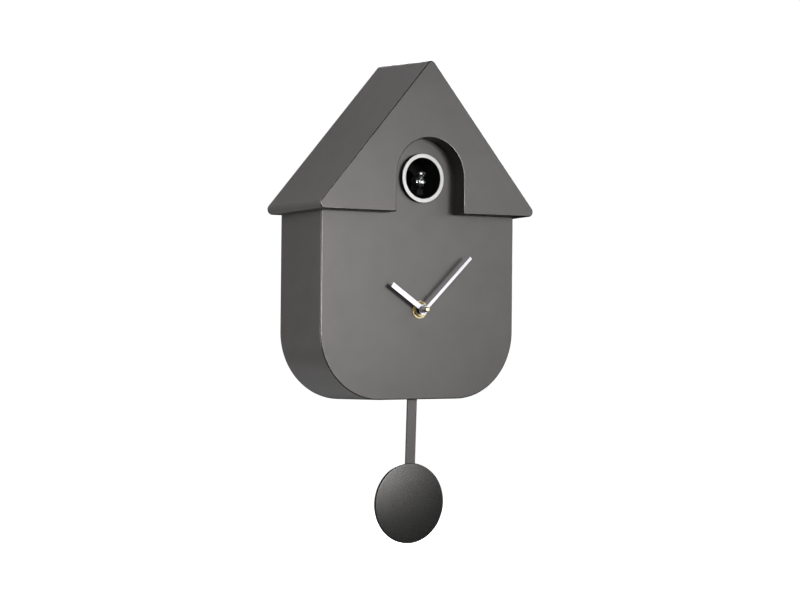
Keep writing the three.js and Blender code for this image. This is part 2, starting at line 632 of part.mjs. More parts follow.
function buildBird() {
  const porthole = group(0, 0, PORTHOLE_Z);
  const face = PANEL_FRONT - RING_STAND;
  add(porthole, 'porthole_ring', ring(RING_INNER, RING_OUTER, face, face + RING_FACE), silverPaint);
  add(porthole, 'porthole_bezel', turned([
    [RING_INNER, face + RING_FACE + SEAT],
    [RING_OUTER - 0.2, face + RING_FACE + SEAT],
    [RING_OUTER - 0.2, PANEL_FRONT - SEAT],
    [PORTHOLE_HOLE - FIT, PANEL_FRONT - SEAT],
    [PORTHOLE_HOLE - FIT, PANEL_BACK - SEAT],
    [RING_INNER, PANEL_BACK - SEAT],
    [RING_INNER, face + RING_FACE + SEAT],
  ]), blackPlastic);
  const flange = PORTHOLE_HOLE + 4;
  add(porthole, 'bird_tunnel', turned([
    [RING_INNER, PANEL_BACK + SEAT],
    [flange, PANEL_BACK + SEAT],
    [flange, PANEL_BACK + SEAT + 1.5],
    [RING_INNER + TUNNEL_WALL, PANEL_BACK + SEAT + 1.5],
    [RING_INNER + TUNNEL_WALL, TUNNEL_BACK],
    [RING_INNER, TUNNEL_BACK],
    [RING_INNER, PANEL_BACK + SEAT],
  ]), blackPlastic);
  add(porthole, 'bird_frame', birdFrame(), blackPlastic);
  add(porthole, 'bird_carriage', birdCarriage(), blackPlastic);
  const perch = group(0, PANEL_FRONT + BIRD_STAND, BEAM.top + BIRD_SEAT, porthole);
  add(perch, 'bird_figure', birdFigure(), chrome);
  const pinionTurn = Math.PI / 2 + Math.PI / BIRD_PINION_TEETH;
  add(group(0, BIRD_PINION_Y, BIRD_PINION_Z, porthole), 'bird_pinion', join(
    slab(gear(BIRD_PINION_TEETH, RACK_MODULE, pinionTurn), -BEAM.half + FIT, BEAM.half - FIT)
      .rotateZ(-Math.PI / 2),
    rodX(0, 0, MOTOR.shaft, 0, BEAM.half + 8),
  ), whitePlastic);
  const motorLeft = BEAM.half + 0.3 + 2.2 + SEAT;
  add(porthole, 'bird_motor', cut(
    join(
      rodX(BIRD_PINION_Y, BIRD_PINION_Z, MOTOR.radius, motorLeft, motorLeft + MOTOR.length),
      rodX(BIRD_PINION_Y, BIRD_PINION_Z, 2.6, motorLeft + MOTOR.length - 1, motorLeft + MOTOR.length + 1.5),
    ),
    rodX(BIRD_PINION_Y, BIRD_PINION_Z, MOTOR.shaft + RUNNING, motorLeft - 1, BEAM.half + 9),
  ), steel);
}

// ---------------------------------------------------------------- movement

const BAY_TOP = -MOVEMENT_HALF + MOVEMENT_WALL + 2 * CELL.radius + 1; // battery bay, from the hands' axis
const CELL_Z = (BAY_TOP - MOVEMENT_HALF + MOVEMENT_WALL) / 2;
const MOTION_DISTANCE = ((CANNON_TEETH + MINUTE_TEETH) * MOTION_MODULE) / 2;
const HOUR_WHEEL_FRONT = MOVEMENT_INSIDE + 0.5;
const CANNON_FRONT = HOUR_WHEEL_FRONT + GEAR_THICK + 0.7;
const CENTRE_FRONT = CANNON_FRONT + PINION_THICK + 0.5;
const THIRD_FRONT = CENTRE_FRONT + PINION_THICK + 0.4;
const SECOND_FRONT = THIRD_FRONT + PINION_THICK + 0.3;
const ARBOR_BACK = CENTRE_FRONT + GEAR_THICK + 0.4;
const CENTRE_MODULE = (2 * TRAIN_DISTANCE) / (CENTRE_TEETH + THIRD_PINION_TEETH);
const THIRD_MODULE = (2 * TRAIN_DISTANCE) / (THIRD_TEETH + SECOND_PINION_TEETH);
const MINUTE_FACE = PANEL_FRONT - MINUTE_HAND.stand;
const HOUR_FACE = PANEL_FRONT - HOUR_HAND.stand;
const ROTOR = { x: 14.6, z: -3.2, magnet: 3 };

function movementHousing() {
  const half = MOVEMENT_HALF;
  const inner = half - MOVEMENT_WALL;
  const back = MOVEMENT_FRONT + MOVEMENT_SPLIT;
  const tray = cut(
    slab(rectangle(-half, -half, half, half, MOVEMENT_CORNER), MOVEMENT_FRONT, back),
    slab(rectangle(-inner, BAY_TOP + MOVEMENT_WALL, inner, inner, 3), MOVEMENT_INSIDE, back + 1),
    slab(rectangle(-inner, -inner, inner, BAY_TOP, MOVEMENT_CORNER / 2), MOVEMENT_INSIDE, back + 1),
  );
  const bush = rodY(0, 0, BUSH_RADIUS, PANEL_FRONT - BUSH_STAND, MOVEMENT_FRONT + 0.5);
  const bore = rodY(0, 0, HOUR_TUBE + RUNNING, PANEL_FRONT - BUSH_STAND - 1, MOVEMENT_INSIDE + 1);
  return cut(join(tray, bush), bore);
}

function movementCover() {
  const half = MOVEMENT_HALF;
  const inner = half - MOVEMENT_WALL;
  const front = MOVEMENT_FRONT + MOVEMENT_SPLIT + SEAT;
  const rim = slab(rectangle(-half, -half, half, half, MOVEMENT_CORNER), front, MOVEMENT_BACK);
  const bayOutline = rectangle(-inner, -inner, inner, BAY_TOP, MOVEMENT_CORNER / 2);
  const bayOpening = slab(bayOutline, front - 1, MOVEMENT_BACK + 1);
  const hollow = slab(rectangle(-inner, BAY_TOP + MOVEMENT_WALL, inner, inner, 3), front - 1,
    MOVEMENT_BACK - MOVEMENT_WALL);
  const knobHole = rodY(-MOTION_DISTANCE, 0, 1.5 + RUNNING, front - 1, MOVEMENT_BACK + 1);
  return cut(rim, bayOpening, hollow, knobHole);
}

function hand({ length, width, hub, collar, depth, stand }, bore) {
  const face = PANEL_FRONT - stand;
  return cut(
    join(
      box(-width / 2, width / 2, face, face + HAND_THICK, 0, length),
      rodY(0, 0, hub, face, face + HAND_THICK),
      rodY(0, 0, collar, face + HAND_THICK / 2, face + HAND_THICK + depth),
    ),
    rodY(0, 0, bore, face - 1, face + depth + 2),
  );
}

function hexagon(radius) {
  return Array.from({ length: 6 }, (_, i) => {
    const angle = (i * Math.PI) / 3 + Math.PI / 6;
    return point(radius * Math.cos(angle), radius * Math.sin(angle));
  });
}

function buildMovement() {
  const axis = group(0, 0, HANDS_Z);
  add(axis, 'movement_housing', movementHousing(), greyPlastic);
  add(axis, 'movement_cover', movementCover(), greyPlastic);
  add(axis, 'rubber_gasket', ring(BUSH_RADIUS + FIT, GASKET.radius, PANEL_BACK + SEAT,
    PANEL_BACK + SEAT + GASKET.thick), rubber);
  const washerFront = PANEL_FRONT - SEAT - WASHER.thick;
  add(axis, 'fixing_washer', ring(BUSH_RADIUS + SEAT, WASHER.radius, washerFront, PANEL_FRONT - SEAT), brass);
  add(axis, 'fixing_nut', cut(
    slab(hexagon(NUT.radius), washerFront - SEAT - NUT.thick, washerFront - SEAT),
    rodY(0, 0, BUSH_RADIUS + SEAT, washerFront - NUT.thick - 2, washerFront + 1),
  ), brass);

  const boreHour = ARBOR_RADIUS + RUNNING;
  add(axis, 'hour_wheel', cut(
    join(
      slab(gear(HOUR_TEETH, MOTION_MODULE, Math.PI / HOUR_TEETH), HOUR_WHEEL_FRONT,
        HOUR_WHEEL_FRONT + GEAR_THICK),
      rodY(0, 0, HOUR_TUBE, HOUR_FACE - 0.4, HOUR_WHEEL_FRONT + 0.5),
    ),
    rodY(0, 0, boreHour, HOUR_FACE - 2, HOUR_WHEEL_FRONT + GEAR_THICK + 1),
  ), whitePlastic);
  add(axis, 'minute_arbor', join(
    rodY(0, 0, ARBOR_RADIUS, MINUTE_FACE - CAP.bore, ARBOR_BACK),
    slab(gear(CANNON_TEETH, MOTION_MODULE, Math.PI), CANNON_FRONT, CANNON_FRONT + PINION_THICK),
  ), brass);
  const thirdDirection = THREE.MathUtils.degToRad(THIRD_ANGLE);
  add(axis, 'centre_wheel', cut(
    slab(gear(CENTRE_TEETH, CENTRE_MODULE, thirdDirection), CENTRE_FRONT, CENTRE_FRONT + GEAR_THICK),
    rodY(0, 0, ARBOR_RADIUS + SEAT, CENTRE_FRONT - 1, CENTRE_FRONT + GEAR_THICK + 1),
  ), whitePlastic);
  const minuteAxis = group(-MOTION_DISTANCE, 0, 0, axis);
  const minuteWheelFront = CANNON_FRONT + (PINION_THICK - GEAR_THICK) / 2;
  add(minuteAxis, 'minute_wheel', join(
    slab(gear(MINUTE_TEETH, MOTION_MODULE, Math.PI / MINUTE_TEETH), minuteWheelFront,
      minuteWheelFront + GEAR_THICK),
    slab(gear(MINUTE_PINION_TEETH, MOTION_MODULE, 0), HOUR_WHEEL_FRONT - 0.2, minuteWheelFront + 0.3),
    rodY(0, 0, 1.5, minuteWheelFront, MOVEMENT_BACK + 1.5),
  ), whitePlastic);
  add(minuteAxis, 'set_knob', cut(
    slab(gear(18, 0.8), MOVEMENT_BACK + 0.6, MOVEMENT_BACK + 5),
    rodY(0, 0, 1.5 + SEAT, MOVEMENT_BACK - 1, MOVEMENT_BACK + 2),
  ), blackPlastic);
  const thirdPlace = point(TRAIN_DISTANCE, 0).rotateAround(point(0, 0), thirdDirection);
  const thirdAxis = group(thirdPlace.x, 0, thirdPlace.y, axis);
  const facing = thirdDirection + Math.PI;
  add(thirdAxis, 'third_wheel', join(
    slab(gear(THIRD_PINION_TEETH, CENTRE_MODULE, facing + Math.PI / THIRD_PINION_TEETH), CENTRE_FRONT - 0.3,
      THIRD_FRONT + 0.3),
    slab(gear(THIRD_TEETH, THIRD_MODULE, facing), THIRD_FRONT, THIRD_FRONT + GEAR_THICK),
  ), whitePlastic);
  add(axis, 'second_wheel', join(
    slab(gear(SECOND_PINION_TEETH, THIRD_MODULE, thirdDirection + Math.PI / SECOND_PINION_TEETH),
      THIRD_FRONT - 0.3, SECOND_FRONT + 0.3),
    rodY(0, 0, SECOND_RADIUS, SECOND_FRONT, SECOND_FRONT + GEAR_THICK),
  ), whitePlastic);

  const rotorFront = SECOND_FRONT - 1;
  add(group(ROTOR.x, 0, ROTOR.z, axis), 'motor_rotor', join(
    rodY(0, 0, ROTOR.magnet, rotorFront + 1.5, rotorFront + 3.5),
    rodY(0, 0, 1, rotorFront, rotorFront + 4.2),
  ), steel);
  const statorFront = rotorFront + 1.9;
  add(axis, 'motor_stator', cut(
    slab(rectangle(ROTOR.x - 5.5, ROTOR.z - 5.5, ROTOR.x + 8.5, ROTOR.z + 26, 1.5), statorFront,
      statorFront + 1.2),
    rodY(ROTOR.x, ROTOR.z, ROTOR.magnet + FIT, statorFront - 1, statorFront + 2),
    box(ROTOR.x - 6, ROTOR.x + 4, statorFront - 1, statorFront + 2, ROTOR.z + 7, ROTOR.z + 21),
  ), steel);
  const coilX = ROTOR.x + 6.2;
  add(axis, 'motor_coil', cut(
    rodZ(coilX, statorFront + 0.6, 3.2, ROTOR.z + 7.5, ROTOR.z + 20.5),
    box(ROTOR.x + 4 - FIT, ROTOR.x + 8.5 + FIT, statorFront - FIT, statorFront + 1.2 + FIT, ROTOR.z,
      ROTOR.z + 27),
  ), copper);
  const boardOutline = rectangle(-24, 14, -10, 25, 0.5);
  add(axis, 'movement_board', slab(boardOutline, SECOND_FRONT, SECOND_FRONT + 1.2), circuitGreen);

  const cellY = MOVEMENT_INSIDE + 0.3 + CELL.radius;
  const cellLeft = -(CELL.length + CELL.nubHeight) / 2;
  add(axis, 'movement_cell', join(
    rodX(cellY, CELL_Z, CELL.radius, cellLeft, cellLeft + CELL.length),
    rodX(cellY, CELL_Z, CELL.nub, cellLeft + CELL.length - 0.5, cellLeft + CELL.length + CELL.nubHeight),
  ), cellJacket);
  bothSides((side) => {
    const inside = -cellLeft + 0.25;
    const edges = [side * inside, side * (inside + 0.5)].sort((a, b) => a - b);
    return add(axis, side < 0 ? 'movement_contact_minus' : 'movement_contact_plus',
      box(...edges, cellY - 4, cellY + 4, CELL_Z - 5, CELL_Z + 5), steel);
  });

  const hourHand = add(axis, 'hour_hand', hand(HOUR_HAND, HOUR_TUBE + SEAT), silverPaint);
  hourHand.rotation.y = THREE.MathUtils.degToRad(HOUR_HAND.angle);
  const minuteHand = add(axis, 'minute_hand', hand(MINUTE_HAND, ARBOR_RADIUS + SEAT), silverPaint);
  minuteHand.rotation.y = THREE.MathUtils.degToRad(MINUTE_HAND.angle);
  const capFront = MINUTE_FACE - SEAT - CAP.length;
  add(axis, 'hand_cap', cut(
    turned([
      [0, capFront],
      [CAP.radius * 0.8, capFront],
      [CAP.radius, capFront + 0.5],
      [CAP.radius, MINUTE_FACE - SEAT],
      [0, MINUTE_FACE - SEAT],
    ]),
    rodY(0, 0, ARBOR_RADIUS + SEAT, MINUTE_FACE - CAP.bore - 0.3, MINUTE_FACE + 1),
  ), silverPaint);
}

// ---------------------------------------------------------------- pendulum and its drive

const HANGER_FRONT = ROD_BACK + SEAT;
const HANGER = { thick: 1.6, half: 4.5, drop: 25 };
const MAGNET = { radius: 3.5, thick: 2.5, drop: 20 };
const DRIVE_FRONT = HANGER_FRONT + HANGER.thick + MAGNET.thick + 1.4;

function pendulumHousing() {
  const back = DRIVE_FRONT + DRIVE.depth;
  const inner = DRIVE.half - DRIVE.wall;
  return cut(
    slab(rectangle(-DRIVE.half, -DRIVE.bottom, DRIVE.half, DRIVE.top, 2), DRIVE_FRONT, back),
    slab(rectangle(-inner, -DRIVE.bottom + DRIVE.wall, inner, DRIVE.top - 6, 1), DRIVE_FRONT + DRIVE.wall,
      back + 1),
    rodY(0, 0, PIN_RADIUS + SEAT, DRIVE_FRONT - 1, DRIVE_FRONT + 8),
  );
}

// The disc: a thin coin with a gently crowned front and a small lip of its own radius behind.
function discSolid(front) {
  const crownSteps = 5;
  const crown = Array.from({ length: crownSteps }, (_, i) => {
    const share = i / crownSteps;
    return [DISC.radius * share, front + DISC.crown * share ** 2];
  });
  return turned([
    ...crown,
    [DISC.radius - 0.6, front + DISC.crown],
    [DISC.radius, front + DISC.crown + 0.6],
    [DISC.radius, front + DISC.thick - 0.4],
    [DISC.radius - 0.4, front + DISC.thick],
    [0, front + DISC.thick],
  ]);
}

function buildPendulum() {
  const pivot = group(0, 0, PIVOT_Z);
  add(pivot, 'pendulum_housing', pendulumHousing(), blackPlastic);
  add(pivot, 'pendulum_coil', ring(2, 8, DRIVE_FRONT + DRIVE.wall + FIT, DRIVE_FRONT + DRIVE.wall + 7)
    .translate(0, 0, -MAGNET.drop + 1), copper);
  add(pivot, 'pendulum_pin', join(
    rodY(0, 0, PIN_RADIUS, ROD.front - 1.2, DRIVE_FRONT + 7),
    rodY(0, 0, 2.2, ROD.front - 2, ROD.front - 0.8),
  ), steel);

  const swinging = group(0, 0, 0, pivot);
  swinging.rotation.y = THREE.MathUtils.degToRad(SWING);
  add(swinging, 'pendulum_hanger', cut(
    slab(rectangle(-HANGER.half, -HANGER.drop, HANGER.half, 4, 3), HANGER_FRONT,
      HANGER_FRONT + HANGER.thick),
    rodY(0, 0, PIN_RADIUS + RUNNING, HANGER_FRONT - 1, HANGER_FRONT + 3),
    rodY(0, -9, 1.2 + SEAT, HANGER_FRONT - 1, HANGER_FRONT + 3),
  ), whitePlastic);
  add(swinging, 'hanger_magnet', rodY(0, -MAGNET.drop, MAGNET.radius, HANGER_FRONT + HANGER.thick + SEAT,
    HANGER_FRONT + HANGER.thick + SEAT + MAGNET.thick), steel);
  const discFront = ROD.front - 0.6;
  const rodBottom = -DISC_DROP - DISC.radius * 0.35;
  add(swinging, 'pendulum_rod', cut(
    slab(rectangle(-ROD.width / 2, rodBottom, ROD.width / 2, 3.6, 1), ROD.front, ROD_BACK),
    rodY(0, 0, PIN_RADIUS + RUNNING, ROD.front - 1, ROD_BACK + 1),
    rodY(0, -9, 1.2 + SEAT, ROD.front - 1, ROD_BACK + 1),
  ), gunmetalPaint);
  add(swinging, 'hanger_rivet', join(
    rodY(0, -9, 1.2, ROD.front - 0.5, HANGER_FRONT + HANGER.thick + 0.6),
    rodY(0, -9, 2.2, ROD.front - 0.9, ROD.front - SEAT),
  ), steel);
  const pocket = box(-ROD.width / 2 - SEAT, ROD.width / 2 + SEAT, ROD.front - SEAT, ROD_BACK + 5,
    -DISC.radius * 0.35 - SEAT, DISC.radius + 1);
  const disc = add(swinging, 'pendulum_disc', cut(discSolid(discFront - DISC.crown), pocket), gunmetalPaint);
  disc.position.z = -DISC_DROP;
}

// ---------------------------------------------------------------- sound unit and its cells

function buildSound() {
  const rear = COVER_FRONT - SEAT;
  const speaker = group(SPEAKER_X, 0, SPEAKER_Z);
  add(speaker, 'speaker_frame', turned([
    [9, rear - SPEAKER.depth],
    [12, rear - SPEAKER.depth],
    [SPEAKER.radius - 3, rear - 2.5],
    [SPEAKER.radius, rear - 2.5],
    [SPEAKER.radius, rear],
    [SPEAKER.radius - 4, rear],
    [SPEAKER.radius - 4, rear - 1.6],
    [11.4, rear - SPEAKER.depth + 1.2],
    [9, rear - SPEAKER.depth + 1.2],
    [9, rear - SPEAKER.depth],
  ]), steel);
  add(speaker, 'speaker_cone', turned([
    [0, rear - 7.4],
    [SPEAKER.radius - 4.6, rear - 1.7],
    [SPEAKER.radius - 4.6, rear - 1.1],
    [0, rear - 6.6],
  ]), paperCone);
  const magnetBack = rear - SPEAKER.depth - SEAT;
  add(speaker, 'speaker_magnet', rodY(0, 0, 13, magnetBack + SEAT - 5, magnetBack), steel);

  const boardBack = rear - 3;
  const board = group(BOARD_X, 0, BOARD_Z);
  const chipFront = boardBack - BOARD.thick;
  add(board, 'sound_board', join(
    slab(rectangle(-BOARD.halfWidth, -BOARD.halfHeight, BOARD.halfWidth, BOARD.halfHeight, 1), chipFront,
      boardBack),
    rodY(4, 6, 4, chipFront - 1.4, chipFront + 0.5),
    rodY(-9, -9, 3, chipFront - 8, chipFront + 0.5),
    box(SWITCH_X - BOARD_X - 4, SWITCH_X - BOARD_X + 4, boardBack - 0.5, boardBack + 0.9, -8, 8),
    box(BUTTON_X - BOARD_X - 3, BUTTON_X - BOARD_X + 3, boardBack - 0.5, boardBack + 0.5, -3, 3),
  ), circuitGreen);
  const buttonFront = boardBack + 0.5 + BUTTON.travel + SEAT;
  add(clock, 'test_button', rodY(BUTTON_X, BOARD_Z, BUTTON.radius, buttonFront, -SEAT), whitePlastic);
  const slider = box(SWITCH_X - SWITCH.halfWidth, SWITCH_X + SWITCH.halfWidth, boardBack + 0.9 + SEAT, -SEAT,
    BOARD_Z - SWITCH.halfHeight, BOARD_Z + SWITCH.halfHeight);
  add(clock, 'mode_switch', slider, whitePlastic);

  const tray = group(TRAY_X, 0, TRAY_Z);
  add(tray, 'battery_tray', cut(
    slab(rectangle(-TRAY_HALF_WIDTH, -TRAY_HALF_HEIGHT, TRAY_HALF_WIDTH, TRAY_HALF_HEIGHT), TRAY_FRONT, rear),
    slab(rectangle(-TRAY_HALF_WIDTH + TRAY.wall, -TRAY_HALF_HEIGHT + TRAY.wall, TRAY_HALF_WIDTH - TRAY.wall,
      TRAY_HALF_HEIGHT - TRAY.wall), TRAY_FRONT + TRAY.wall, rear + 1),
  ), blackPlastic);
  const cellY = TRAY_FRONT + TRAY.wall + CELL.radius + 0.4;
  const cellHalf = (CELL.length + CELL.nubHeight) / 2;
  bothSides((side) => {
    const x = (side * CELL_PITCH) / 2;
    const cell = add(group(x, cellY, 0, tray), side < 0 ? 'cell_left' : 'cell_right', join(
      rodZ(0, 0, CELL.radius, -cellHalf, -cellHalf + CELL.length),
      rodZ(0, 0, CELL.nub, -cellHalf + CELL.length - 0.5, cellHalf),
    ), cellJacket);
    cell.rotation.x = side < 0 ? 0 : Math.PI;
    const plate = cellHalf + 1.2;
    return add(tray, side < 0 ? 'cell_contact_left' : 'cell_contact_right',
      box(x - 5, x + 5, cellY - 5, cellY + 5, plate, plate + 0.5), steel);
  });
  add(tray, 'cell_link', box(-12, 12, cellY - 5, cellY + 5, -cellHalf - 1.7, -cellHalf - 1.2), steel);
}

buildShells();
buildBird();
buildMovement();
buildPendulum();
buildSound();

export default clock;
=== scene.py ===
"""Looks of the battery cuckoo clock: shells, porthole, hands and pendulum as fine meshes, and every finish.

Lengths are millimetres until a mesh, light or camera is made, where MM turns them to metres. +Z is up and
the clock faces -Y. Stations along the depth are y values, so the front of a piece has the lower one.
"""
import json
import math

import bmesh
import bpy
from mathutils import Matrix, Vector

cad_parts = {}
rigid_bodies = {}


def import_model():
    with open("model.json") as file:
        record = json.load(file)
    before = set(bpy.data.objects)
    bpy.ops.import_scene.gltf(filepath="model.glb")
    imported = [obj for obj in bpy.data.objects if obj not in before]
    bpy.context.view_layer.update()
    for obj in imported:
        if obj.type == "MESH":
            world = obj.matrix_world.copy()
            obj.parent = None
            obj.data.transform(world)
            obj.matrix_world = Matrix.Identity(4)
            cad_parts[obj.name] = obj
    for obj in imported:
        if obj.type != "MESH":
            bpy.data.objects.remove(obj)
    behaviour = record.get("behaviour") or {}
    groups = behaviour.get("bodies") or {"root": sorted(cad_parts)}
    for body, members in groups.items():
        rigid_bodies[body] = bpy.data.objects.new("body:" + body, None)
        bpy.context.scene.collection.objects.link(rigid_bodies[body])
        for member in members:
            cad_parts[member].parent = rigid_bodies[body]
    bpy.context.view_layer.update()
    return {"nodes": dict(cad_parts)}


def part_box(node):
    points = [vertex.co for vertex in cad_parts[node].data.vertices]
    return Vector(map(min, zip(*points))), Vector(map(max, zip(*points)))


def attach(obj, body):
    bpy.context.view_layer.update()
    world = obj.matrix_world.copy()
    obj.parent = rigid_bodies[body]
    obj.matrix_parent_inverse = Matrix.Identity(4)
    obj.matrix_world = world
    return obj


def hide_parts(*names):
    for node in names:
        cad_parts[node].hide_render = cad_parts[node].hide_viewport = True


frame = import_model()

MM = 0.001


def corners_mm(node):
    """Lowest and highest corner of a CAD node, in millimetres."""
    low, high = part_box(node)
    return low / MM, high / MM


# ---------------------------------------------------------------- sizes, in millimetres

DRAFT = math.tan(math.radians(1.7))   # slope of every moulded side, wider to the rear
WALL = 2.5
FIT = 0.3
SEAT = 0.1                            # gap between pieces that lie on each other
HAIR = 0.01                           # keeps two surfaces from falling together
ARC_SAG = 0.01                        # how far a chord may stand off its true arc
EDGE_FILLET = 0.9                     # rounded front edges of the lacquered shells
REAR_FILLET = 0.4                     # and their rear edges
EDGE_STEPS = 6
FILLET_STEPS = 3

roof_low = corners_mm("roof_shell")[0]
case_low, case_high = corners_mm("case_shell")
ring_low, ring_high = corners_mm("porthole_ring")
bezel_low, bezel_high = corners_mm("porthole_bezel")
tunnel_low, tunnel_high = corners_mm("bird_tunnel")
washer_low, washer_high = corners_mm("fixing_washer")
nut_low, nut_high = corners_mm("fixing_nut")
cap_low, cap_high = corners_mm("hand_cap")
rod_low, rod_high = corners_mm("pendulum_rod")
disc_low, disc_high = corners_mm("pendulum_disc")

ROOF_FRONT = roof_low.y
ROOF_DEPTH = -ROOF_FRONT
EAVE_Z = roof_low.z + DRAFT * ROOF_DEPTH
ROOF_HALF_WIDTH = 107.7               # to the sharp corner, at the front
ROOF_HEIGHT = 126.2                   # eave to sharp ridge, at the front
ROOF_CORNER = 4.3
NOTCH_RADIUS = 32.5

PANEL_FRONT = case_low.y
PANEL_BACK = PANEL_FRONT + WALL
CASE_REAR = case_high.y
CASE_DEPTH = CASE_REAR - PANEL_FRONT
CASE_HALF_WIDTH = case_high.x - DRAFT * CASE_DEPTH
CASE_FLOOR_Z = case_low.z + DRAFT * CASE_DEPTH
CASE_DROP = EAVE_Z - CASE_FLOOR_Z
CASE_CORNER = 55.6
CASE_LAP = 9
TONGUE_LAP = 5

PORTHOLE_Z = (ring_low.z + ring_high.z) / 2
RING_OUTER = (ring_high.x - ring_low.x) / 2
RING_INNER = RING_OUTER - 3.2
BEZEL_OUTER = RING_OUTER - 0.8
PORTHOLE_HOLE = (bezel_high.x - bezel_low.x) / 2
TUNNEL_WALL = 1.5

HANDS_Z = (washer_low.z + washer_high.z) / 2
BUSH_RADIUS = 3.9
PIVOT_Z = sum(corner.z for corner in corners_mm("pendulum_pin")) / 2
SWING = math.radians(1.45)            # where the pendulum stands in its swing
SWING_MOST = math.radians(5)
ROD_HALF = 4.5


# ---------------------------------------------------------------- finishes

def linear(hex_colour):
    """An sRGB hex string as a linear colour with alpha."""
    channels = [int(hex_colour[i:i + 2], 16) / 255 for i in (0, 2, 4)]
    return [c / 12.92 if c <= 0.04045 else ((c + 0.055) / 1.055) ** 2.4 for c in channels] + [1.0]


def add_node(tree, kind, settings=None, links=None):
    """Adds a shader node. A setting is a property, an input's value or, on a ramp, its list of stops."""
    made = tree.nodes.new("ShaderNode" + kind)
    for name, value in (settings or {}).items():
        if name == "stops":
            ramp = made.color_ramp
            while len(ramp.elements) < len(value):
                ramp.elements.new(1.0)
            for element, (place, colour) in zip(ramp.elements, value):
                element.position = place
                element.color = linear(colour)
        elif name in made.inputs:
            made.inputs[name].default_value = value
        else:
            setattr(made, name, value)
    for name, source in (links or {}).items():
        tree.links.new(source, made.inputs[name])
    return made


def per_metre(size_mm):
    """Scale that gives a texture a feature of this size on coordinates in metres."""
    return 1 / (size_mm * MM)


def finish(name, colours, grain, depth, roughness, stretch=(1, 1, 1), cloud=18.0, shader=None, pattern=None):
    """A material: two colours that drift into each other over `cloud` mm, and a grain that many mm across
    and `depth` mm deep. Roughness is a (low, high) pair that follows the grain. `stretch` draws the grain
    out along an axis, as brushing does. `pattern` may take over the colour and the height of the grain.
    """
    material = bpy.data.materials.new(name)
    material.use_nodes = True
    tree = material.node_tree
    tree.nodes.clear()
    place = add_node(tree, "TexCoord").outputs["Object"]
    drift = add_node(tree, "TexNoise", {"Scale": per_metre(cloud), "Detail": 3.0}, {"Vector": place})
    colour = add_node(tree, "ValToRGB", {"stops": [(0.3, colours[0]), (0.7, colours[1])]},
                      {"Fac": drift.outputs["Fac"]}).outputs["Color"]
    drawn = add_node(tree, "Mapping", {"Scale": stretch}, {"Vector": place}).outputs["Vector"]
    fine = add_node(tree, "TexNoise", {"Scale": per_metre(grain), "Detail": 2.0}, {"Vector": drawn})
    height = fine.outputs["Fac"]
    if pattern:
        colour, height = pattern(tree, place, colour, height)
    rough = add_node(tree, "MapRange", {"From Min": 0.3, "From Max": 0.7, "To Min": roughness[0],
                                        "To Max": roughness[1]}, {"Value": fine.outputs["Fac"]})
    bump = add_node(tree, "Bump", {"Strength": 1.0, "Distance": depth * MM}, {"Height": height})
    bsdf = add_node(tree, "BsdfPrincipled", shader, {
        "Base Color": colour,
        "Roughness": rough.outputs["Result"],
        "Normal": bump.outputs["Normal"],
    })
    output = add_node(tree, "OutputMaterial")
    tree.links.new(bsdf.outputs["BSDF"], output.inputs["Surface"])
    return material


def windings(pitch, shade):
    """Turns of wire that lie side by side along Z: a groove between each two, with painted shade as a darker
    line in it.
    """
    def pattern(tree, place, colour, height):
        turns = add_node(tree, "TexWave", {
            "wave_type": "BANDS",
            "bands_direction": "Z",
            "Scale": per_metre(pitch) / 10,
            "Distortion": 0.4,
        }, {"Vector": place}).outputs["Fac"]
        tint = add_node(tree, "Mix", {"data_type": "RGBA"}, {"Factor": turns})
        tree.links.new(colour, tint.inputs[7])
        # Painted shade: the colour darkens towards the bottom of each groove between turns.
        tint.inputs[6].default_value = linear(shade)
        return tint.outputs[2], turns
    return pattern


def tracks(pitch, copper):
    """Copper tracks under solder mask: a maze of slightly lighter, slightly raised lines."""
    def pattern(tree, place, colour, height):
        cells = add_node(tree, "TexVoronoi", {
            "distance": "MANHATTAN",
            "feature": "F1",
            "Scale": per_metre(pitch),
            "Randomness": 0.35,
        }, {"Vector": place}).outputs["Distance"]
        edge = add_node(tree, "MapRange", {"From Min": 0.45, "From Max": 0.5}, {"Value": cells})
        line = edge.outputs["Result"]
        tint = add_node(tree, "Mix", {"data_type": "RGBA"}, {"Factor": line})
        tree.links.new(colour, tint.inputs[6])
        tint.inputs[7].default_value = linear(copper)
        return tint.outputs[2], line
    return pattern


# Metallic lacquer sprayed on ABS: a satin warm grey whose fine flakes give it a soft, broad sheen.
gunmetal_lacquer = finish("gunmetal_satin_lacquer", ("575554", "5b5958"), grain=0.35, depth=0.006,
                          roughness=(0.36, 0.46), shader={"Metallic": 0.55, "IOR": 1.5})
# The fillets take a lighter, glossier copy of the lacquer. Its lighter colour is a painted highlight: a
# crisp, brighter line along every rounded edge.
gunmetal_painted_edge_highlight = finish("gunmetal_lacquer_on_edges", ("625f5e", "676463"), grain=0.35, depth=0.003,
                       roughness=(0.2, 0.28), shader={"Metallic": 0.85, "IOR": 1.5})
# The same lacquer flatted and clear-coated, on the disc: darker, with a clean mirror in its crown.
gunmetal_gloss = finish("gunmetal_gloss_lacquer", ("494847", "4d4c4b"), grain=0.4, depth=0.002,
                        roughness=(0.25, 0.31), shader={"Metallic": 0.85})
# Black ABS from a spark-eroded mould: an even, dull, pebbly grain.
spark_black_abs = finish("black_abs_spark_texture", ("141414", "1c1c1d"), grain=0.7, depth=0.03,
                         roughness=(0.5, 0.66), shader={"IOR": 1.53})
# Black ABS from a plain mould: smoother, and dark enough to make the bright ring stand off.
black_abs = finish("black_abs_moulded", ("0a0a0a", "101011"), grain=0.9, depth=0.008,
                   roughness=(0.42, 0.54), shader={"IOR": 1.53})
# Flock in the tunnel and on the bird's slide: it swallows light, so that only the bird shows in the hole.
black_flock = finish("black_flock_lining", ("070707", "0c0c0c"), grain=0.5, depth=0.02,
                     roughness=(0.8, 0.92), shader={"IOR": 1.4})
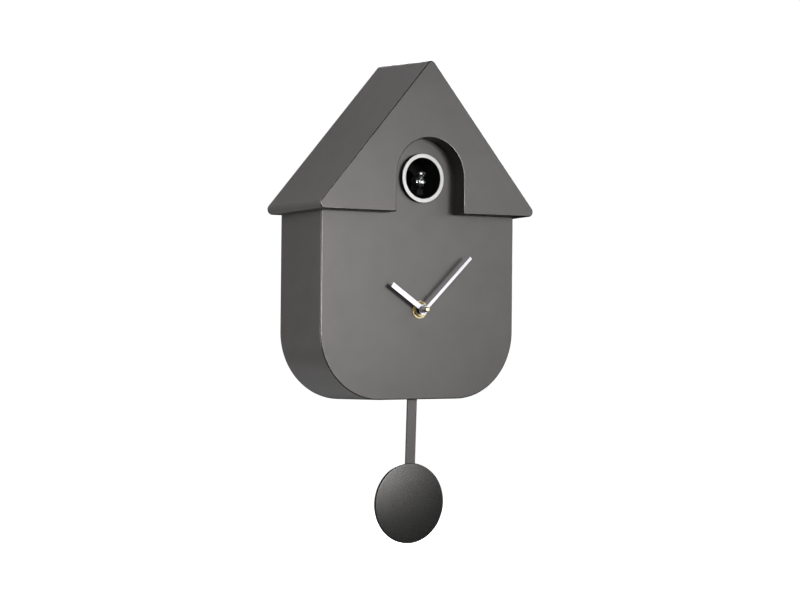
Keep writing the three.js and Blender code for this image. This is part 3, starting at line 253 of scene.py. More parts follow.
# Grey acetal: slightly waxy, with faint flow clouds.
grey_acetal = finish("grey_acetal_moulded", ("39393b", "434345"), grain=1.1, depth=0.008,
                     roughness=(0.4, 0.52), cloud=7.0, shader={"IOR": 1.48})
# White acetal of the wheels: waxy and faintly translucent.
white_acetal = finish("white_acetal_moulded", ("dedfdc", "ebebe7"), grain=0.9, depth=0.006,
                      roughness=(0.34, 0.46), cloud=6.0,
                      shader={"IOR": 1.48, "Subsurface Weight": 0.15, "Subsurface Radius": (MM, MM, MM)})
# Silver lacquer on the ring: bright, flat and even.
silver_lacquer = finish("silver_satin_lacquer", ("c6c5c4", "cfcecd"), grain=0.3, depth=0.003,
                        roughness=(0.3, 0.4), shader={"Metallic": 0.35})
# Aluminium hands, brushed along their length and clear-anodised.
brushed_aluminium = finish("brushed_anodised_aluminium", ("bdbcc3", "cccbd0"), grain=0.25, depth=0.003,
                           roughness=(0.26, 0.4), cloud=9.0, stretch=(1, 1, 0.12), shader={"Metallic": 0.75})
# Turned brass with a champagne tint, for the cap over the arbor.
champagne_brass = finish("champagne_turned_brass", ("cbbf9f", "d9cfb2"), grain=0.3, depth=0.004,
                         roughness=(0.22, 0.34), stretch=(1, 4, 1), shader={"Metallic": 0.8})
# Plain brass of washer, nut and arbor: yellow, with fine turning marks.
turned_brass = finish("turned_brass", ("8f8262", "a59777"), grain=0.3, depth=0.006,
                      roughness=(0.2, 0.34), stretch=(1, 5, 1), shader={"Metallic": 1.0})
# Bright nickel-chrome plate on the bird: its feathered relief breaks the mirror into many small sparks.
bright_chrome = finish("bright_chrome_plate", ("e2e4e7", "eef0f2"), grain=1.5, depth=0.45,
                       roughness=(0.2, 0.34), shader={"Metallic": 1.0})
# Zinc-plated steel: cool grey with a cloudy sheen.
zinc_steel = finish("zinc_plated_steel", ("9fa2a6", "b9bbbd"), grain=0.5, depth=0.004,
                    roughness=(0.26, 0.42), cloud=4.0, shader={"Metallic": 1.0})
# Enamelled copper wire, wound in turns. Drawn at three times its true gauge, to show.
coil_wire = finish("enamelled_copper_winding", ("8a4426", "a95a33"), grain=0.4, depth=0.12,
                   roughness=(0.24, 0.34), shader={"Metallic": 0.7, "Coat Weight": 0.4},
                   pattern=windings(0.45, "3a170c"))
# Nitrile rubber: nearly black, without shine.
nitrile = finish("nitrile_rubber", ("121212", "191918"), grain=0.5, depth=0.01,
                 roughness=(0.74, 0.86), shader={"IOR": 1.52})
# Glass-epoxy board under green solder mask.
solder_mask = finish("green_solder_mask", ("17452b", "1d5434"), grain=0.6, depth=0.03,
                     roughness=(0.28, 0.4), shader={"IOR": 1.55, "Coat Weight": 0.3},
                     pattern=tracks(2.2, "2f7a4c"))
# Printed film shrunk on an alkaline cell: plain blue with a slight gloss.
cell_film = finish("printed_cell_film", ("2a5680", "31618f"), grain=1.5, depth=0.004,
                   roughness=(0.24, 0.34), cloud=20.0, shader={"Metallic": 0.25, "Coat Weight": 0.5})
# Pressed paper pulp of the speaker's cone: fibrous and dull.
paper_pulp = finish("pressed_paper_pulp", ("1d1d1f", "29292b"), grain=0.5, depth=0.05,
                    roughness=(0.8, 0.92), stretch=(1, 1, 0.4), shader={"IOR": 1.4})


# ---------------------------------------------------------------- outlines in the XZ plane

def arc(x, z, radius, start, end):
    step = 2 * math.acos(1 - ARC_SAG / max(radius, 2 * ARC_SAG))
    steps = max(4, math.ceil(abs(end - start) / step))
    turns = [start + (end - start) * i / steps for i in range(steps + 1)]
    return [(x + radius * math.cos(turn), z + radius * math.sin(turn)) for turn in turns]


def circle(x, z, radius):
    return arc(x, z, radius, 0, 2 * math.pi)[:-1]


def rounded(corners):
    """A polygon given as (x, z, radius) corners, anticlockwise, with its convex corners rounded."""
    outline = []
    for i, (x, z, radius) in enumerate(corners):
        here = Vector((x, z))
        if radius == 0:
            outline.append((x, z))
            continue
        back = (Vector(corners[i - 1][:2]) - here).normalized()
        on = (Vector(corners[(i + 1) % len(corners)][:2]) - here).normalized()
        half = math.acos(back.dot(on)) / 2
        centre = here + (back + on).normalized() * (radius / math.sin(half))
        touch = here + back * (radius / math.tan(half)) - centre
        start = math.atan2(touch.y, touch.x)
        outline += arc(centre.x, centre.y, radius, start, start + math.pi - 2 * half)
    return outline


def rectangle(left, bottom, right, top, radius=0):
    return rounded([
        (left, bottom, radius),
        (right, bottom, radius),
        (right, top, radius),
        (left, top, radius),
    ])


# ---------------------------------------------------------------- meshes

def new_piece(name, mesh_builder, *materials):
    """An object whose mesh is in metres, from a bmesh in millimetres."""
    bmesh.ops.recalc_face_normals(mesh_builder, faces=mesh_builder.faces)
    for face in mesh_builder.faces:
        face.smooth = True
    bmesh.ops.scale(mesh_builder, vec=(MM, MM, MM), verts=mesh_builder.verts)
    mesh = bpy.data.meshes.new(name)
    mesh_builder.to_mesh(mesh)
    mesh_builder.free()
    piece = bpy.data.objects.new(name, mesh)
    bpy.context.scene.collection.objects.link(piece)
    for material in materials:
        mesh.materials.append(material)
    return piece


def slab(outline, front, back):
    """A closed prism in a bmesh, from the station `front` to `back`."""
    builder = bmesh.new()
    near = [builder.verts.new((x, front, z)) for x, z in outline]
    far = [builder.verts.new((x, back, z)) for x, z in outline]
    builder.faces.new(near)
    builder.faces.new(far[::-1])
    for i in range(len(near)):
        j = (i + 1) % len(near)
        builder.faces.new((near[i], far[i], far[j], near[j]))
    return builder


def inset(outline, amount):
    """An anticlockwise outline moved inwards by `amount`, point by point."""
    moved = []
    for i, point in enumerate(outline):
        here = Vector(point)
        back = (here - Vector(outline[i - 1])).normalized()
        on = (Vector(outline[(i + 1) % len(outline)]) - here).normalized()
        inward = Vector((-back.y - on.y, back.x + on.x)).normalized()
        moved.append(tuple(here + inward * (amount / inward.dot(Vector((-on.y, on.x))))))
    return moved


def softened(front, back, edge, rear_edge=0):
    """(station, inset) pairs of a prism whose front and rear edges are rounded with these radii."""
    turns = [math.pi / 2 * i / EDGE_STEPS for i in range(EDGE_STEPS + 1)]
    arcs = [(1 - math.cos(turn), 1 - math.sin(turn)) for turn in turns]
    near = [(front + edge * deep, edge * drawn_in) for deep, drawn_in in arcs]
    far = [(back - rear_edge * deep, rear_edge * drawn_in) for deep, drawn_in in reversed(arcs)]
    return (near if edge else [(front, 0)]) + (far if rear_edge else [(back, 0)])


def lofted(outline_at, stations):
    """A closed solid through the outlines at these (station, inset) pairs. Where the inset changes, the
    faces take the second finish of the piece.
    """
    builder = bmesh.new()
    rings = []
    for station, drawn_in in stations:
        outline = inset(outline_at(station), drawn_in) if drawn_in else outline_at(station)
        rings.append([builder.verts.new((x, station, z)) for x, z in outline])
    builder.faces.new(rings[0])
    builder.faces.new(rings[-1][::-1])
    for near, far, (_, inset_near), (_, inset_far) in zip(rings, rings[1:], stations, stations[1:]):
        for i in range(len(near)):
            j = (i + 1) % len(near)
            side = builder.faces.new((near[i], far[i], far[j], near[j]))
            # The rounded faces take slot 1. On the shells, that is the lighter lacquer that paints a
            # highlight along the edges.
            side.material_index = int(inset_near != inset_far)
    return builder


def turned(profile, steps=96):
    """A solid of revolution about the Y axis, from (radius, y) points front to back, in a bmesh. A profile
    that leaves the axis closes on itself.
    """
    builder = bmesh.new()
    closed = profile[0][0] > 0
    rings = []
    for radius, y in profile:
        if radius == 0:
            rings.append([builder.verts.new((0, y, 0))] * steps)
            continue
        turns = [2 * math.pi * i / steps for i in range(steps)]
        rings.append([builder.verts.new((radius * math.cos(t), y, radius * math.sin(t))) for t in turns])
    pairs = list(zip(rings, rings[1:]))
    if closed:
        pairs.append((rings[-1], rings[0]))
    for first, second in pairs:
        for i in range(steps):
            j = (i + 1) % steps
            around = [first[i], first[j], second[j], second[i]]
            builder.faces.new(list(dict.fromkeys(around)))
    return builder


def shifted(builder, x=0, y=0, z=0):
    bmesh.ops.translate(builder, vec=(x, y, z), verts=builder.verts)
    return builder


def combine(piece, builder, operation):
    """Joins a bmesh to a piece, or cuts it away, with an exact boolean."""
    tool = new_piece("tool", builder)
    for material in piece.data.materials:
        tool.data.materials.append(material)
    modifier = piece.modifiers.new("shape", "BOOLEAN")
    modifier.operation = operation
    modifier.solver = "EXACT"
    modifier.object = tool
    bake(piece)
    bpy.data.objects.remove(tool)


def bake(piece):
    """Replaces a piece's mesh by what its modifiers make of it."""
    depsgraph = bpy.context.evaluated_depsgraph_get()
    mesh = bpy.data.meshes.new_from_object(piece.evaluated_get(depsgraph))
    piece.modifiers.clear()
    piece.data = mesh


def joined(piece, *builders):
    for builder in builders:
        combine(piece, builder, "UNION")


def cut(piece, *builders):
    for builder in builders:
        combine(piece, builder, "DIFFERENCE")


def cleaned(piece):
    """Merges coincident points and dissolves the seams that booleans leave in flat faces."""
    builder = bmesh.new()
    builder.from_mesh(piece.data)
    bmesh.ops.remove_doubles(builder, verts=builder.verts, dist=0.002 * MM)
    bmesh.ops.dissolve_limit(builder, angle_limit=math.radians(0.2), verts=builder.verts, edges=builder.edges)
    for face in builder.faces:
        face.smooth = True
    builder.to_mesh(piece.data)
    builder.free()


def shaded(piece, limit=35):
    """Keeps flats flat and arcs smooth in the shading, and edges sharper than `limit` degrees crisp."""
    builder = bmesh.new()
    builder.from_mesh(piece.data)
    for edge in builder.edges:
        edge.smooth = edge.calc_face_angle(math.pi) < math.radians(limit)
    builder.to_mesh(piece.data)
    builder.free()
    weigh = piece.modifiers.new("flat_shading", "WEIGHTED_NORMAL")
    weigh.keep_sharp = True
    weigh.weight = 100
    bake(piece)


def filleted(piece, radius, steps=FILLET_STEPS, limit=35):
    """Rounds every edge sharper than `limit` degrees and keeps the flats flat in the shading."""
    bevel = piece.modifiers.new("fillet", "BEVEL")
    bevel.width = radius * MM
    bevel.segments = steps
    bevel.limit_method = "ANGLE"
    bevel.angle_limit = math.radians(limit)
    bevel.miter_outer = "MITER_ARC"
    bake(piece)
    weigh = piece.modifiers.new("flat_shading", "WEIGHTED_NORMAL")
    weigh.keep_sharp = False
    weigh.weight = 100
    bake(piece)


def settle(piece, body, slot, *nodes):
    """Puts a piece on its body and hides the CAD nodes it stands for. Its slot argument is not used."""
    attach(piece, body)
    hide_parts(*nodes)


# ---------------------------------------------------------------- roof and case

ROOF_INRADIUS = ROOF_HALF_WIDTH * ROOF_HEIGHT / (ROOF_HALF_WIDTH + math.hypot(ROOF_HALF_WIDTH, ROOF_HEIGHT))
ROOF_CENTRE_Z = EAVE_Z + ROOF_INRADIUS


def gable_outline(offset):
    k = 1 + offset / ROOF_INRADIUS
    bottom = ROOF_CENTRE_Z - ROOF_INRADIUS * k
    radius = max(ROOF_CORNER + offset, 0.5)
    return rounded([
        (-ROOF_HALF_WIDTH * k, bottom, radius),
        (ROOF_HALF_WIDTH * k, bottom, radius),
        (0, bottom + ROOF_HEIGHT * k, radius),
    ])


def gable_slab(offset, front, back, edge=0, rear_edge=0):
    def outline_at(station):
        k = 1 + DRAFT * (station - ROOF_FRONT) / ROOF_INRADIUS
        return [(x * k, ROOF_CENTRE_Z + (z - ROOF_CENTRE_Z) * k) for x, z in outline]
    outline = gable_outline(offset)
    return lofted(outline_at, softened(front, back, edge, rear_edge))


def arch_outline(radius, bottom):
    return [(-radius, bottom), (radius, bottom)] + arc(0, PORTHOLE_Z, radius, 0, math.pi)


def case_outline(offset, top):
    half = CASE_HALF_WIDTH + offset
    bottom = CASE_FLOOR_Z - offset
    radius = CASE_CORNER + offset
    return rounded([(-half, top, 0), (-half, bottom, radius), (half, bottom, radius), (half, top, 0)])


def case_slab(offset, top, front, back, edge=0, rear_edge=0):
    def outline_at(station):
        growth = DRAFT * (station - PANEL_FRONT)
        wide = 1 + growth / CASE_HALF_WIDTH
        tall = 1 + growth / CASE_DROP
        return [(x * wide, EAVE_Z + (z - EAVE_Z) * tall) for x, z in outline]
    outline = case_outline(offset, top)
    return lofted(outline_at, softened(front, back, edge, rear_edge))


def doorway_slab():
    """What the notch takes out of the roof: it flares at the front, so that the notch's edge is rounded."""
    flare = [(station, -drawn_in) for station, drawn_in in softened(ROOF_FRONT, PANEL_FRONT, EDGE_FILLET)]
    outline = arch_outline(NOTCH_RADIUS, EAVE_Z - 2 * EDGE_FILLET)
    return lofted(lambda _: outline, [(ROOF_FRONT - 1, -EDGE_FILLET)] + flare)


def mirrored_places(node_left):
    """Both middles of a pair of screws, from the left one."""
    low, high = corners_mm(node_left)
    x, z = (low.x + high.x) / 2, (low.z + high.z) / 2
    return [(x, z), (-x, z)]


COVER_BOSS = 4
LAP_BOSS = 3
SCREW_BORE = 1.7
SCREW_DEPTH = 12
cover_front = corners_mm("back_cover")[0].y
roof_bosses = mirrored_places("cover_screw_top_left")
case_bosses = mirrored_places("cover_screw_low_left")
lap_bosses = mirrored_places("roof_screw_left")


def make_roof():
    outside = gable_slab(0, ROOF_FRONT, 0, EDGE_FILLET, REAR_FILLET)
    # The rounded edges take the lighter lacquer, a painted edge highlight.
    shell = new_piece("roof_skin", outside, gunmetal_lacquer, gunmetal_painted_edge_highlight)
    cut(shell, gable_slab(-WALL, ROOF_FRONT + WALL, 1))
    root = ROOF_FRONT + WALL / 2
    joined(shell, slab(arch_outline(NOTCH_RADIUS + WALL, EAVE_Z), root, PANEL_FRONT - SEAT))
    for x, z in roof_bosses:
        joined(shell, slab(circle(x, z, COVER_BOSS), root, cover_front - SEAT))
    for x, z in lap_bosses:
        joined(shell, slab(circle(x, z, LAP_BOSS), root, PANEL_FRONT - SEAT))
    cut(shell, doorway_slab())
    cut(shell, case_slab(FIT, EAVE_Z + CASE_LAP - LAP_BOSS, PANEL_FRONT - SEAT, 1))
    for x, z in roof_bosses:
        cut(shell, slab(circle(x, z, SCREW_BORE), cover_front - SCREW_DEPTH, cover_front + 1))
    for x, z in lap_bosses:
        cut(shell, slab(circle(x, z, SCREW_BORE), PANEL_FRONT - SCREW_DEPTH, PANEL_FRONT + 1))
    cleaned(shell)
    shaded(shell)
    settle(shell, "case", "gunmetal_paint", "roof_shell")


SLOT_MARGIN = 2.6                     # room round the rod where it passes the case's floor
SLOT_FRONT = rod_low.y - SLOT_MARGIN
SLOT_BACK = rod_high.y + SLOT_MARGIN
SLOT_HALF = ROD_HALF + SLOT_MARGIN + (PIVOT_Z - CASE_FLOOR_Z) * math.tan(SWING_MOST)


def make_case():
    outside = case_slab(0, EAVE_Z + CASE_LAP, PANEL_FRONT, CASE_REAR, EDGE_FILLET, REAR_FILLET)
    # The rounded edges take the lighter lacquer, a painted edge highlight.
    shell = new_piece("case_skin", outside, gunmetal_lacquer, gunmetal_painted_edge_highlight)
    cut(shell, case_slab(-WALL, EAVE_Z + CASE_LAP + 1, PANEL_BACK, 1))
    joined(shell, slab(arch_outline(NOTCH_RADIUS + TONGUE_LAP, EAVE_Z), PANEL_FRONT, PANEL_BACK))
    for x, z in case_bosses:
        joined(shell, slab(circle(x, z, COVER_BOSS), PANEL_FRONT + WALL / 2, cover_front - SEAT))
    slot = rectangle(-SLOT_HALF, CASE_FLOOR_Z - WALL, SLOT_HALF, CASE_FLOOR_Z + 2 * WALL)
    cut(shell, slab(slot, SLOT_FRONT, SLOT_BACK))
    cut(shell, slab(circle(0, HANDS_Z, BUSH_RADIUS + FIT), PANEL_FRONT - 1, PANEL_BACK + 1))
    cut(shell, slab(circle(0, PORTHOLE_Z, PORTHOLE_HOLE + FIT), PANEL_FRONT - 1, PANEL_BACK + 1))
    for x, z in case_bosses:
        cut(shell, slab(circle(x, z, SCREW_BORE), cover_front - SCREW_DEPTH, cover_front + 1))
    for x, z in lap_bosses:
        cut(shell, slab(circle(x, z, SCREW_BORE), PANEL_FRONT - 1, PANEL_BACK + 1))
    cleaned(shell)
    shaded(shell)
    settle(shell, "case", "gunmetal_paint", "case_shell")


# ---------------------------------------------------------------- porthole

def make_turned(name, node, profile, material, body, slot, centre_z, fillet, steps=128):
    piece = new_piece(name, shifted(turned(profile, steps), z=centre_z), material)
    filleted(piece, fillet)
    settle(piece, body, slot, node)
    return piece


def make_porthole():
    make_turned("ring_face", "porthole_ring", [
        (RING_INNER, ring_low.y), (RING_OUTER, ring_low.y),
        (RING_OUTER, ring_high.y), (RING_INNER, ring_high.y),
    ], silver_lacquer, "case", "silver_paint", PORTHOLE_Z, 0.2)
    step = PANEL_FRONT - SEAT
    make_turned("ring_bezel", "porthole_bezel", [
        (RING_INNER, bezel_low.y), (BEZEL_OUTER, bezel_low.y), (BEZEL_OUTER, step),
        (PORTHOLE_HOLE - HAIR, step), (PORTHOLE_HOLE - HAIR, bezel_high.y), (RING_INNER, bezel_high.y),
    ], black_abs, "case", "black_plastic", PORTHOLE_Z, 0.12)
    flange = (tunnel_high.x - tunnel_low.x) / 2
    make_turned("tunnel_tube", "bird_tunnel", [
        (RING_INNER, tunnel_low.y), (flange, tunnel_low.y), (flange, tunnel_low.y + TUNNEL_WALL),
        (RING_INNER + TUNNEL_WALL, tunnel_low.y + TUNNEL_WALL),
        (RING_INNER + TUNNEL_WALL, tunnel_high.y), (RING_INNER, tunnel_high.y),
    ], black_flock, "case", "black_plastic", PORTHOLE_Z, 0.2)


# ---------------------------------------------------------------- bird

def ellipsoid(builder, centre, radii, tilt=0.0):
    place = Matrix.Translation(centre) @ Matrix.Rotation(tilt, 4, "X") @ Matrix.Diagonal((*radii, 1))
    bmesh.ops.create_uvsphere(builder, u_segments=32, v_segments=20, radius=1, matrix=place)


BIRD_STAND = 3                        # its middle behind the case front
BIRD_DROP = 2.3                       # its middle below the ring's


def make_bird():
    """A small plump bird, cast as one and plated: overlapping forms are fused by a fine remesh."""
    centre = Vector((0, PANEL_FRONT + BIRD_STAND, PORTHOLE_Z - BIRD_DROP))
    builder = bmesh.new()
    ellipsoid(builder, (0, 0, 0), (4.3, 6.2, 5.0), 0.45)
    ellipsoid(builder, (0, -3.4, 5.8), (3.2, 3.3, 3.2))
    ellipsoid(builder, (0, 4.6, -2.4), (2.1, 5.0, 1.1), -0.5)
    for side in (-1, 1):
        ellipsoid(builder, (side * 4.0, 1.2, 0.4), (1.2, 5.0, 3.0), 0.35)
        ellipsoid(builder, (side * 2.4, -5.2, 6.6), (0.6, 0.6, 0.6))
    beak = Matrix.Translation((0, -7.2, 5.6)) @ Matrix.Rotation(math.pi / 2, 4, "X")
    bmesh.ops.create_cone(builder, cap_ends=True, segments=24, radius1=1.2, radius2=0.15, depth=3.4,
                          matrix=beak)
    bird = new_piece("bird_cast", shifted(builder, *centre), bright_chrome)
    remesh = bird.modifiers.new("fuse", "REMESH")
    remesh.mode = "VOXEL"
    remesh.voxel_size = 0.28 * MM
    remesh.use_smooth_shade = True
    bake(bird)
    smooth = bird.modifiers.new("polish", "SMOOTH")
    smooth.factor = 0.5
    smooth.iterations = 4
    bake(bird)
    settle(bird, "bird", "chrome", "bird_figure")


# ---------------------------------------------------------------- hands and fixing

HAND_THICK = 0.5
HOUR_BORE = 2.6                       # over the hour tube
ARBOR_RADIUS = 1.35
CAP_BORE_DEPTH = 2.2
NUT_CHAMFER = 0.6


def hand_outline(length, width, hub, angle):
    """A square-ended bar that grows out of a round hub, turned clockwise by `angle` degrees."""
    meet = math.asin(width / 2 / hub)
    outline = arc(0, 0, hub, math.pi / 2 + meet, 5 * math.pi / 2 - meet)
    outline += [(width / 2, length), (-width / 2, length)]
    turn = Matrix.Rotation(-math.radians(angle), 2)
    return [tuple(turn @ Vector(place)) for place in outline]


def make_hand(name, node, body, length, width, hub, collar, bore, angle):
    low, high = corners_mm(node)
    blade = slab(hand_outline(length, width, hub, angle), low.y, low.y + HAND_THICK)
    hand = new_piece(name, shifted(blade, z=HANDS_Z), brushed_aluminium)
    joined(hand, slab(circle(0, HANDS_Z, collar), low.y + HAND_THICK / 2, high.y))
    cut(hand, slab(circle(0, HANDS_Z, bore), low.y - 1, high.y + 1))
    cleaned(hand)
    filleted(hand, 0.1)
    settle(hand, body, "silver_paint", node)


def hexagon(radius):
    turns = [math.radians(30 + 60 * i) for i in range(6)]
    return [(radius * math.cos(turn), HANDS_Z + radius * math.sin(turn)) for turn in turns]


def make_fixings():
    washer_bore = BUSH_RADIUS + SEAT
    washer_rim = (washer_high.x - washer_low.x) / 2 - HAIR
    make_turned("washer_flat", "fixing_washer", [
        (washer_bore, washer_low.y), (washer_rim, washer_low.y),
        (washer_rim, washer_high.y), (washer_bore, washer_high.y),
    ], turned_brass, "case", "brass", HANDS_Z, 0.12)
    across = (nut_high.z - nut_low.z) / 2
    nut = new_piece("nut_hex", slab(hexagon(across), nut_low.y, nut_high.y), turned_brass)
    rim = across + 0.2
    cone = turned([
        (0, nut_low.y - HAIR), (across - NUT_CHAMFER, nut_low.y - HAIR),
        (rim, nut_low.y + NUT_CHAMFER), (rim, nut_high.y + 1), (0, nut_high.y + 1),
    ])
    combine(nut, shifted(cone, z=HANDS_Z), "INTERSECT")
    cut(nut, slab(circle(0, HANDS_Z, BUSH_RADIUS + SEAT), nut_low.y - 1, nut_high.y + 1))
    cleaned(nut)
    filleted(nut, 0.1)
    settle(nut, "case", "brass", "fixing_nut")
    cap_radius = (cap_high.x - cap_low.x) / 2 - HAIR
    bore_end = cap_high.y - CAP_BORE_DEPTH
    make_turned("cap_turned", "hand_cap", [
        (0, cap_low.y), (cap_radius * 0.7, cap_low.y), (cap_radius, cap_low.y + 0.5),
        (cap_radius, cap_high.y), (ARBOR_RADIUS, cap_high.y), (ARBOR_RADIUS, bore_end), (0, bore_end),
    ], champagne_brass, "minute_train", "silver_paint", HANDS_Z, 0.15)


# ---------------------------------------------------------------- pendulum

ROD_BORE = 1.3
ROD_ABOVE_PIVOT = 3.6
RIVET_DROP = 9                        # rivet below the pivot


def swung(builder):
    """Turns a bmesh about the pendulum's pivot to where the pendulum stands."""
    turn = Matrix.Rotation(SWING, 4, "Y")
    centre = Matrix.Translation((0, 0, PIVOT_Z))
    bmesh.ops.transform(builder, matrix=centre @ turn @ centre.inverted(), verts=builder.verts)
    return builder


def make_pendulum():
    disc_radius = (disc_high.x - disc_low.x) / 2 - FIT / 4
    pivot_to_disc = (PIVOT_Z - (disc_low.z + disc_high.z) / 2) / math.cos(SWING)
    lip = 0.6
    crown = 1.0
    crown_steps = 24
    profile = [(disc_radius * i / crown_steps, disc_low.y + crown * (i / crown_steps) ** 2)
               for i in range(crown_steps)]
    profile += [(disc_radius - lip, disc_low.y + crown), (disc_radius, disc_low.y + crown + lip),
                (disc_radius, disc_high.y - 0.4), (disc_radius - 0.4, disc_high.y), (0, disc_high.y)]
    crowned = shifted(turned(profile, 160), z=PIVOT_Z - pivot_to_disc)
    disc = new_piece("disc_crowned", swung(crowned), gunmetal_gloss)
    pocket_low = PIVOT_Z - pivot_to_disc - disc_radius * 0.35 - SEAT
    pocket = rectangle(-ROD_HALF - SEAT, pocket_low, ROD_HALF + SEAT, pocket_low + disc_radius * 2)
    cut(disc, swung(slab(pocket, rod_low.y - SEAT, disc_high.y + 1)))
    cleaned(disc)
    filleted(disc, 0.3)
    settle(disc, "pendulum", "gunmetal_paint", "pendulum_disc")

    strip = rectangle(-ROD_HALF, pocket_low + SEAT, ROD_HALF, PIVOT_Z + ROD_ABOVE_PIVOT, 1)
    rod = new_piece("rod_flat", swung(slab(strip, rod_low.y, rod_high.y)), gunmetal_lacquer)
    for drop in (0, RIVET_DROP):
        cut(rod, swung(slab(circle(0, PIVOT_Z - drop, ROD_BORE), rod_low.y - 1, rod_high.y + 1)))
    cleaned(rod)
    filleted(rod, 0.35)
    settle(rod, "pendulum", "gunmetal_paint", "pendulum_rod")


# ---------------------------------------------------------------- smaller pieces, refined from their solids

def refine(node, material, slot, fillet):
    """A CAD node's own shape, with its facets merged, its edges eased and a finish."""
    source = frame["nodes"][node]
    body = source.parent.name.removeprefix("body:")
    builder = bmesh.new()
    builder.from_mesh(source.data)
    piece = new_piece(node + "_fine", shifted_scale(builder), material)
    cleaned(piece)
    if fillet:
        filleted(piece, fillet, steps=2, limit=40)
    settle(piece, body, slot, node)


def shifted_scale(builder):
    """Turns a bmesh in metres to millimetres and welds it."""
    bmesh.ops.scale(builder, vec=(1 / MM,) * 3, verts=builder.verts)
    bmesh.ops.remove_doubles(builder, verts=builder.verts, dist=0.002)
    return builder


make_roof()
make_case()
make_porthole()
make_bird()
make_hand("hour_bar", "hour_hand", "hour_train",
          length=36, width=4.2, hub=4.2, collar=3.4, bore=HOUR_BORE, angle=-56.1)
make_hand("minute_bar", "minute_hand", "minute_train",
          length=61.8, width=2.6, hub=3, collar=2.5, bore=ARBOR_RADIUS, angle=45.6)
make_fixings()
make_pendulum()

# Finish, slot, fillet in millimetres, and the CAD nodes that take them.
REFINED = (
    (black_flock, "black_plastic", 0.25, ("bird_frame", "bird_carriage")),
    (spark_black_abs, "black_plastic", 0.25, (
        "back_cover", "battery_door", "battery_tray", "pendulum_housing", "set_knob")),
    (grey_acetal, "grey_plastic", 0.15, ("movement_housing", "movement_cover")),
    (white_acetal, "white_plastic", 0.08, (
        "hour_wheel", "minute_wheel", "centre_wheel", "third_wheel", "second_wheel", "bird_pinion",
        "pendulum_hanger", "test_button", "mode_switch")),
    (zinc_steel, "steel", 0.08, (
        "cover_screw_top_left", "cover_screw_top_right", "cover_screw_low_left", "cover_screw_low_right",
        "roof_screw_left", "roof_screw_right", "bird_motor", "motor_rotor", "motor_stator",
        "movement_contact_minus", "movement_contact_plus", "pendulum_pin", "hanger_magnet", "hanger_rivet",
        "speaker_frame", "speaker_magnet", "cell_contact_left", "cell_contact_right", "cell_link")),
    (coil_wire, "copper_wire", 0.15, ("motor_coil", "pendulum_coil")),
    (nitrile, "rubber", 0.12, ("rubber_gasket",)),
    (solder_mask, "circuit_board", 0.1, ("movement_board", "sound_board")),
    (cell_film, "cell_jacket", 0.3, ("movement_cell", "cell_left", "cell_right")),
    (paper_pulp, "paper_cone", 0.1, ("speaker_cone",)),
    (turned_brass, "brass", 0.08, ("minute_arbor",)),
)
for material, slot, fillet, nodes in REFINED:
    for node in nodes:
        refine(node, material, slot, fillet)


# ---------------------------------------------------------------- camera, stage and light

VIEW_AZIMUTH = 31.791                 # degrees, the camera stands to the clock's left
VIEW_ELEVATION = -0.38
VIEW_ROLL = 0.542
VIEW_DISTANCE = 1639.9
VIEW_TARGET = Vector((21.35, 0, EAVE_Z - 72.43))
LENS = 86.28


def direction(azimuth, elevation):
    """Unit vector from the clock towards a place, by azimuth to the left and elevation, in degrees."""
    turn, rise = math.radians(azimuth), math.radians(elevation)
    return Vector((-math.sin(turn) * math.cos(rise), -math.cos(turn) * math.cos(rise), math.sin(rise)))


def aimed(place, target, roll=0.0):
    """Matrix of an object at `place` whose -Z looks at `target`, both in millimetres."""
    back = (place - target).normalized()
    right = Vector((0, 0, 1)).cross(back).normalized()
    up = back.cross(right)
    turn = math.radians(roll)
    side = right * math.cos(turn) + up * math.sin(turn)
    head = up * math.cos(turn) - right * math.sin(turn)
    matrix = Matrix((side, head, back)).transposed().to_4x4()
    matrix.translation = place * MM
    return matrix


def make_camera():
    data = bpy.data.cameras.new("camera")
    data.lens = LENS
    data.sensor_width = 36
    data.clip_start = 0.05
    camera = bpy.data.objects.new("camera", data)
    camera.matrix_world = aimed(VIEW_TARGET + direction(VIEW_AZIMUTH, VIEW_ELEVATION) * VIEW_DISTANCE,
                                VIEW_TARGET, VIEW_ROLL)
    bpy.context.scene.collection.objects.link(camera)
    bpy.context.scene.camera = camera


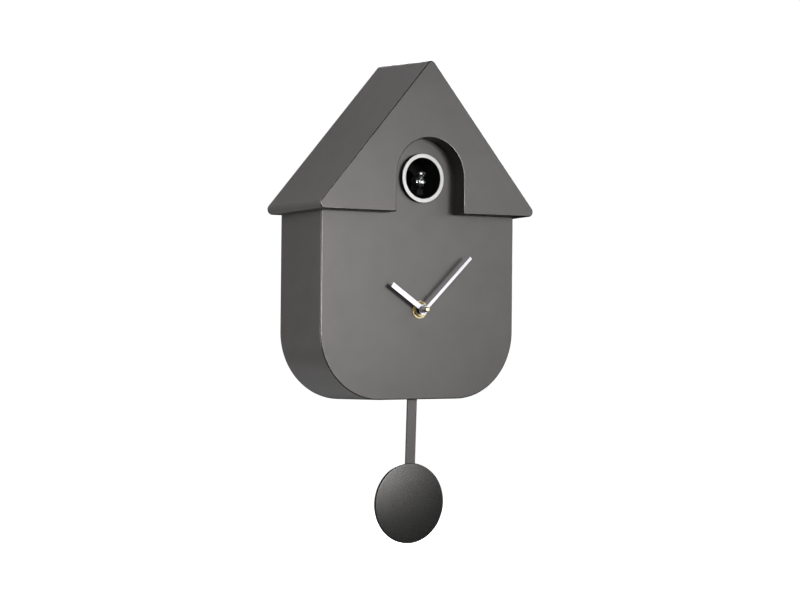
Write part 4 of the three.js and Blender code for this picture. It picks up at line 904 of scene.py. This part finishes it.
def make_light(name, azimuth, elevation, distance, width, height, power):
    data = bpy.data.lights.new(name, "AREA")
    data.shape = "RECTANGLE"
    data.size = width * MM
    data.size_y = height * MM
    data.energy = power
    light = bpy.data.objects.new(name, data)
    light.matrix_world = aimed(VIEW_TARGET + direction(azimuth, elevation) * distance, VIEW_TARGET)
    bpy.context.scene.collection.objects.link(light)


def make_stage():
    """A round white studio: a pale floor that sweeps up into the wall. It is seen but lights nothing."""
    floor_z = case_low.z - 260
    reach = 4200
    bend = 900
    profile = [(0, 0), (reach - bend, 0)]
    profile += [(reach - bend + bend * math.sin(turn), bend - bend * math.cos(turn))
                for turn in (math.radians(9 * i) for i in range(1, 11))]
    profile += [(reach, 5000)]
    builder = turned([(radius, -height) for radius, height in profile], 96)
    bmesh.ops.rotate(builder, matrix=Matrix.Rotation(-math.pi / 2, 3, "X"), verts=builder.verts)
    paper = finish("white_studio_paper", ("f4f4f4", "fafafa"), grain=3.0, depth=0.01, roughness=(0.7, 0.8),
                   cloud=400.0, shader={"Emission Color": (1, 1, 1, 1), "Emission Strength": 1.0})
    studio = new_piece("studio_floor_and_wall", shifted(builder, z=floor_z), paper)
    studio.visible_diffuse = False
    studio.visible_glossy = False
    studio.visible_shadow = False


def make_world():
    world = bpy.data.worlds.new("studio")
    world.use_nodes = True
    world.node_tree.nodes["Background"].inputs["Color"].default_value = linear("ffffff")
    world.node_tree.nodes["Background"].inputs["Strength"].default_value = 0.004
    bpy.context.scene.world = world


make_camera()
make_world()
make_stage()
# Name, azimuth, elevation, distance, width, height, power.
make_light("key_softbox", -50, 12, 1500, 500, 500, 3.0)
make_light("right_edge_softbox", -26, 0, 1500, 400, 400, 1.3)
make_light("front_softbox", -15, 2, 1500, 400, 440, 7.5)
make_light("left_rim_softbox", 30, 10, 1500, 400, 700, 4.6)
make_light("rear_left_wash", 110, 10, 1500, 700, 1400, 15.4)
make_light("rear_left_top", 140, 50, 1500, 900, 900, 5.3)
make_light("rear_left_low", 145, -25, 1500, 900, 900, 1.2)
make_light("rear_low", 180, -45, 1500, 1400, 900, 2.7)
make_light("rear_right_fill", 212, 18, 1500, 900, 900, 22.0)
make_light("right_fill", -110, 35, 1500, 900, 1200, 9.0)
bpy.context.scene.view_settings.view_transform = "Standard"
